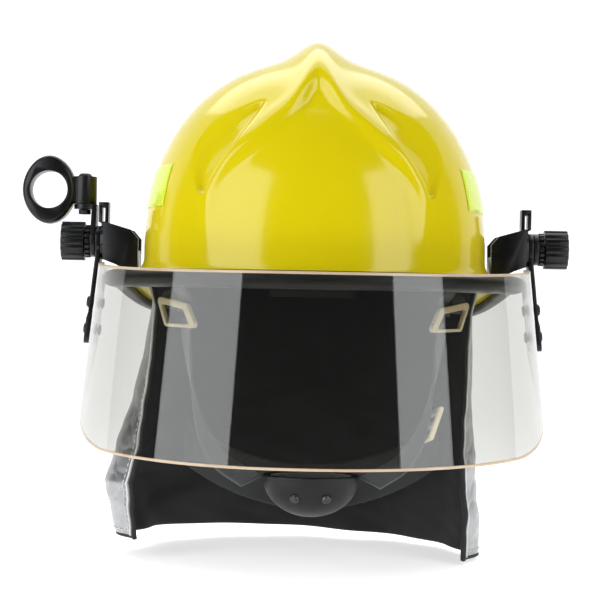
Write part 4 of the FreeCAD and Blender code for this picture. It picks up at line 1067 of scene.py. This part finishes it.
def make_chin_cup():
    """Moulded bowl with a rolled rim, and the pad inside it."""
    def ring(across, along, height, count=96):
        return [CUP + Vector((across * math.sin(turn), -along * math.cos(turn), height))
                for turn in full_turn(count)]

    def bowl(across, along, deep, steps, first=1, rise=0.0, count=96):
        """Rings of half an egg, from near its lowest point up to its rim."""
        rings = []
        for step in range(first, steps + 1):
            turn = math.pi / 2 * step / steps
            reach = math.sin(turn)
            rings.append(ring(across * reach, along * reach, rise - deep * math.cos(turn), count))
        return rings

    rim = [ring(29.3, 24.3, 0.8), ring(29.0, 24.0, 1.5), ring(28.2, 23.2, 1.8), ring(27.3, 22.3, 1.4)]
    cup = rings_object("chin_cup_shown", bowl(29, 24, 24, 24) + rim + bowl(26.8, 21.8, 21.8, 24)[::-1])
    finished(cup, "helmet", CUP_PLASTIC, "cup_black", "chin_cup")
    rows = bowl(25.4, 20.4, 20.6, 16, 2, 1.2, 64) + bowl(23.4, 18.4, 18.6, 16, 2, 1.2, 64)[::-1]
    block = rings_object("cup_pad_shown", rows)
    pad = puffed(block, 1.6, 3.0, 1.6, lambda point: smoothstep(-115.5, -112.5, point.z))
    unwrap(pad, lambda point: (point.x, point.y + point.z))
    finished(pad, "helmet", PAD_CLOTH, "pad_black", "cup_pad")


# -------- neck curtain

CURTAIN_TOP = 16
CURTAIN_LOW = -165
CURTAIN_WALL = 1.6
CURTAIN_START, CURTAIN_END = 86, 274
CURTAIN_RADIUS = 105        # mean distance of the cloth from the axis
CURTAIN_HEM_PLAN = (118, 124, 124)
CRUMPLES = ((23, 1.3), (11, 0.7), (5.5, 0.3))   # size and depth of the waves in the cloth
CURTAIN_CURL = 8.0          # how far the front edges curl inwards
CURTAIN_FLARE = 11.0        # how far the right side stands out above its hem
CURTAIN_HEIGHTS = (CURTAIN_TOP, 4, -12, -45, -90, -125, None)
CURTAIN_SHARES = (0, 0.01, 0.08, 0.25, 0.6, 0.9, 1)
CURL_SHARES = (0, 0, 0.5, 0.8, 1, 1, 0.6)
FLARE_SHARES = (0, 0, 0, 0.2, 0.7, 1, -0.3)


def curtain_point(angle, down, inset):
    """Point of the curtain at a plan angle in degrees and a share of the way down."""
    turn = math.radians(angle)
    sideways = math.sin(turn)
    hem = CURTAIN_LOW - 5 * sideways
    height = CURTAIN_TOP + (hem - CURTAIN_TOP) * down
    heights = [hem if value is None else value for value in CURTAIN_HEIGHTS]
    drops = [-value for value in heights]
    share, curled, flared = (float(np.interp(-height, drops, table))
                             for table in (CURTAIN_SHARES, CURL_SHARES, FLARE_SHARES))
    edge = min(angle - CURTAIN_START, CURTAIN_END - angle)
    turned_in = CURTAIN_CURL + max(-sideways, 0) * (3 + 8 * smoothstep(0.3, 0.7, down))
    curl = turned_in * curled * bell(edge, 8)
    shape = CURTAIN_FLARE * flared * max(-sideways, 0) ** 4 - curl
    top = plan_radius(turn, SHELL_PLAN, WALL + 0.7 + inset)
    hang = smoothstep(0.05, 0.8, down)
    fold = 2.0 * math.cos(turn * 14) + 1.5 * hang * math.sin(turn * 9 + 4 * down)
    low = plan_radius(turn, CURTAIN_HEM_PLAN, inset) - 9 * sideways + fold
    crumple = 0.0
    for size, strength in CRUMPLES:
        ripple = math.sin(angle * CURTAIN_RADIUS / size / 57 + 2 * math.sin(height / size))
        crumple += strength * ripple * math.cos(height / size)
    return around(turn, top + (low - top) * share + shape + crumple * hang, height)


def curtain_sheet(name, inset, wall):
    """Closed thin sheet of the curtain: inner and outer faces joined round the edge."""
    columns, rows = 340, 120
    points = []
    for offset in (0, wall):
        for row in range(rows):
            for column in range(columns):
                angle = CURTAIN_START + (CURTAIN_END - CURTAIN_START) * column / (columns - 1)
                points.append(curtain_point(angle, row / (rows - 1), inset + offset))
    layer = rows * columns
    faces = grid_faces(rows, columns)
    faces += [tuple(layer + index for index in face[::-1]) for face in faces]
    border = list(range(columns))
    border += [row * columns + columns - 1 for row in range(1, rows)]
    border += [(rows - 1) * columns + column for column in range(columns - 2, -1, -1)]
    border += [row * columns for row in range(rows - 2, 0, -1)]
    for here, there in zip(border, border[1:] + border[:1]):
        faces.append((here, there, layer + there, layer + here))
    sheet = mesh_object(name, points, faces)
    unwrap(sheet, band_uv)
    return sheet


def make_curtain():
    """Silver outer cloth, black lining, bound front edges and hem with their stitching."""
    outer = curtain_sheet("curtain_outer_shown", 0.4, 0.8)
    finished(outer, "helmet", SILVER_CLOTH, "cloth_silver", "curtain_outer")
    lining = curtain_sheet("curtain_lining_shown", CURTAIN_WALL + 0.6, 0.9)
    finished(lining, "helmet", LINING_CLOTH, "cloth_black", "curtain_lining")
    rows = []
    for name, angle, inward in (("left", CURTAIN_START, 1), ("right", CURTAIN_END, -1)):
        line = [curtain_point(angle, down, 1.6) for down in span(0, 1, 90)]
        binding = rings_object(f"curtain_binding_{name}", tube(line, 1.5, 12))
        finished(binding, "helmet", LINING_CLOTH, "cloth_black")
        edge = [curtain_point(angle + inward * 1.6, down, -0.6) for down in span(0.0, 0.99, 120)]
        piping = rings_object(f"curtain_piping_{name}", tube(edge, 0.75, 10))
        finished(piping, "helmet", WHITE_THREAD, "cloth_silver")
        rows.append([curtain_point(angle + inward * 4, down, 0.1) for down in span(0.02, 0.99, 90)])
    hem_line = [curtain_point(angle, 0.995, 1.6) for angle in span(CURTAIN_START, CURTAIN_END, 240)]
    hem = rings_object("curtain_hem", tube(hem_line, 1.4, 12))
    finished(hem, "helmet", LINING_CLOTH, "cloth_black")
    along_hem = span(CURTAIN_START + 3, CURTAIN_END - 3, 240)
    rows.append([curtain_point(angle, 0.975, 0.1) for angle in along_hem])
    stitches("curtain_stitches", rows, "helmet", WHITE_THREAD, "cloth_silver", radius=0.4)


THROAT_HALF_WIDTH = 80
THROAT_DEPTH = 38
THROAT_BACK = 6             # Y of its ends
THROAT_LOW = -122           # height of the band's middle line at the front
THROAT_RISE = 24            # how much higher its ends are
THROAT_SEAM = 5             # distance of each quilting seam from the middle line


def make_throat_band():
    """Quilted cloth band that joins the curtain's front edges under the chin."""
    def place(share, out, rise):
        turn = share * math.radians(88)
        sine, cosine = math.sin(turn), math.cos(turn)
        height = THROAT_LOW + THROAT_RISE * sine ** 2
        middle = Vector((THROAT_HALF_WIDTH * sine, THROAT_BACK - THROAT_DEPTH * cosine, height))
        return middle + Vector((sine, -cosine, 0)) * out + UP * rise

    front = [(1.0, 14.4), (1.5, 12), (1.5, -12), (1.0, -14.4)]
    section = front + [(-out, rise) for out, rise in front[::-1]]
    rings = [[place(share, out, rise) for out, rise in section] for share in span(-1, 1, 70)]
    block = rings_object("throat_band_shown", rings)

    def sewn(point):
        sine = max(min(point.x / THROAT_HALF_WIDTH, 1), -1)
        rise = point.z - THROAT_LOW - THROAT_RISE * sine ** 2
        return max(bell(abs(rise) - 14.5, 1.6), 0.95 * bell(abs(rise) - THROAT_SEAM, 1.1))

    band = puffed(block, 1.4, 4.0, 1.2, sewn)
    unwrap(band, lambda point: (point.x * 1.2, point.z))
    finished(band, "helmet", LINING_CLOTH, "cloth_black", "throat_band")
    rows = []
    for rise in (-THROAT_SEAM, THROAT_SEAM):
        rows.append([place(share, 1.1, rise) for share in span(-0.97, 0.97, 130)])
    stitches("throat_band_stitches", rows, "helmet", BLACK_THREAD, "cloth_black")


# -------- rigid parts

def make_rigid_parts():
    """Moulded and metal CAD parts, with their edges rounded and their own finishes."""
    nylon = (NYLON, "nylon_black")
    black = (BRACKET_PLASTIC, "bracket_black")
    metal = (STEEL, "steel_dark")
    cream = (CREAM, "nylon_cream")
    groups = (
        ("helmet", nylon, 0.35, "headband hanger_clips ratchet_housing"),
        ("helmet", black, 0.5, "bracket_left bracket_right"),
        ("helmet", black, 0.25, "tooth_washer_left tooth_washer_right spacer_left"),
        ("helmet", metal, 0.3, "pivot_bolt_left pivot_bolt_right bracket_screws cup_rivets curtain_studs"),
        ("helmet", cream, 0.5, "strap_divider_left strap_divider_right strap_slider"),
        ("adjuster", nylon, 0.5, "ratchet_knob"),
        ("adjuster", nylon, 0.15, "ratchet_pinion"),
        ("tail_left", nylon, 0.15, "tail_left"),
        ("tail_right", nylon, 0.15, "tail_right"),
        ("knob_left", black, 0.6, "knob_left"),
        ("knob_right", black, 0.6, "knob_right"),
        ("visor", black, 0.6, "visor_arm_left visor_arm_right"),
        ("visor", metal, 0.3, "visor_rivets"),
        ("torch_plate", black, 0.5, "torch_plate"),
        ("torch_plate", metal, 0.3, "torch_pin"),
        ("torch_ring", black, 0.8, "torch_ring"),
    )
    for body, (material, slot), width, names in groups:
        for node in names.split():
            rounded(node, body, material, slot, width)


# -------- stage

CAMERA_PLACE = (-0.0086, -1.2, -0.006)
CAMERA_ROLL = 1.1
CAMERA_LENS = 112.5
LAMP_COLOUR = (0.95, 0.975, 1.0)


def make_stage():
    """Pale seamless floor and backdrop, two tall soft boxes, a broad top light, and the camera."""
    low = cad_box[0].z - 0.0025
    finish = Finish("studio_paper", (0.8, 0.8, 0.8), 0.9)
    finish.constant(Emission_Color=(1, 1, 1, 1), Emission_Strength=0.62)
    sweep = [(1.2 + 0.8 * math.sin(a), 0.8 - 0.8 * math.cos(a)) for a in span(0.1, math.pi / 2, 12)]
    rows = []
    for y, z in [(-0.45, 0), (1.2, 0)] + sweep + [(2.0, 3.5)]:
        rows.append([Vector((x, y, low + z)) / MM for x in (-4, 4)])
    paper = mesh_object("studio_paper", joined(rows), grid_faces(len(rows), 2))
    paper.data.materials.append(finish.data)

    def lamp(name, place, aim, size, power):
        data = bpy.data.lights.new(name, "AREA")
        data.shape = "RECTANGLE"
        data.size, data.size_y = size
        data.energy = power
        data.color = LAMP_COLOUR
        obj = bpy.data.objects.new(name, data)
        obj.location = place
        obj.rotation_euler = (Vector(aim) - Vector(place)).to_track_quat("-Z", "Y").to_euler()
        scene.collection.objects.link(obj)

    lamp("softbox_left", (-0.98, -0.84, 0.3), (0, 0, 0), (1.0, 1.3), 14.5)
    lamp("softbox_right", (0.93, -0.9, 0.3), (0, 0, 0), (0.68, 1.3), 10)
    lamp("top_light", (0, 0.5, 1.25), (0, 0.1, 0), (1.9, 1.4), 18)
    world = bpy.data.worlds.new("studio")
    world.use_nodes = True
    world.node_tree.nodes["Background"].inputs["Color"].default_value = (1, 1, 1, 1)
    world.node_tree.nodes["Background"].inputs["Strength"].default_value = 0.06
    scene.world = world
    camera = bpy.data.cameras.new("camera")
    camera.lens = CAMERA_LENS
    obj = bpy.data.objects.new("camera", camera)
    level = Matrix.Rotation(math.radians(90), 4, "X")
    roll = Matrix.Rotation(math.radians(CAMERA_ROLL), 4, "Z")
    obj.matrix_world = Matrix.Translation(CAMERA_PLACE) @ level @ roll
    scene.collection.objects.link(obj)
    scene.camera = obj
    scene.view_settings.view_transform = "Standard"


make_stage()
make_shell()
make_trim()
make_reflectors()
make_liner()
make_sweatband()
make_nape_pad()
make_crown_straps()
make_crown_pad()
make_visor()
make_chin_straps()
make_chin_cup()
make_curtain()
make_throat_band()
make_rigid_parts()
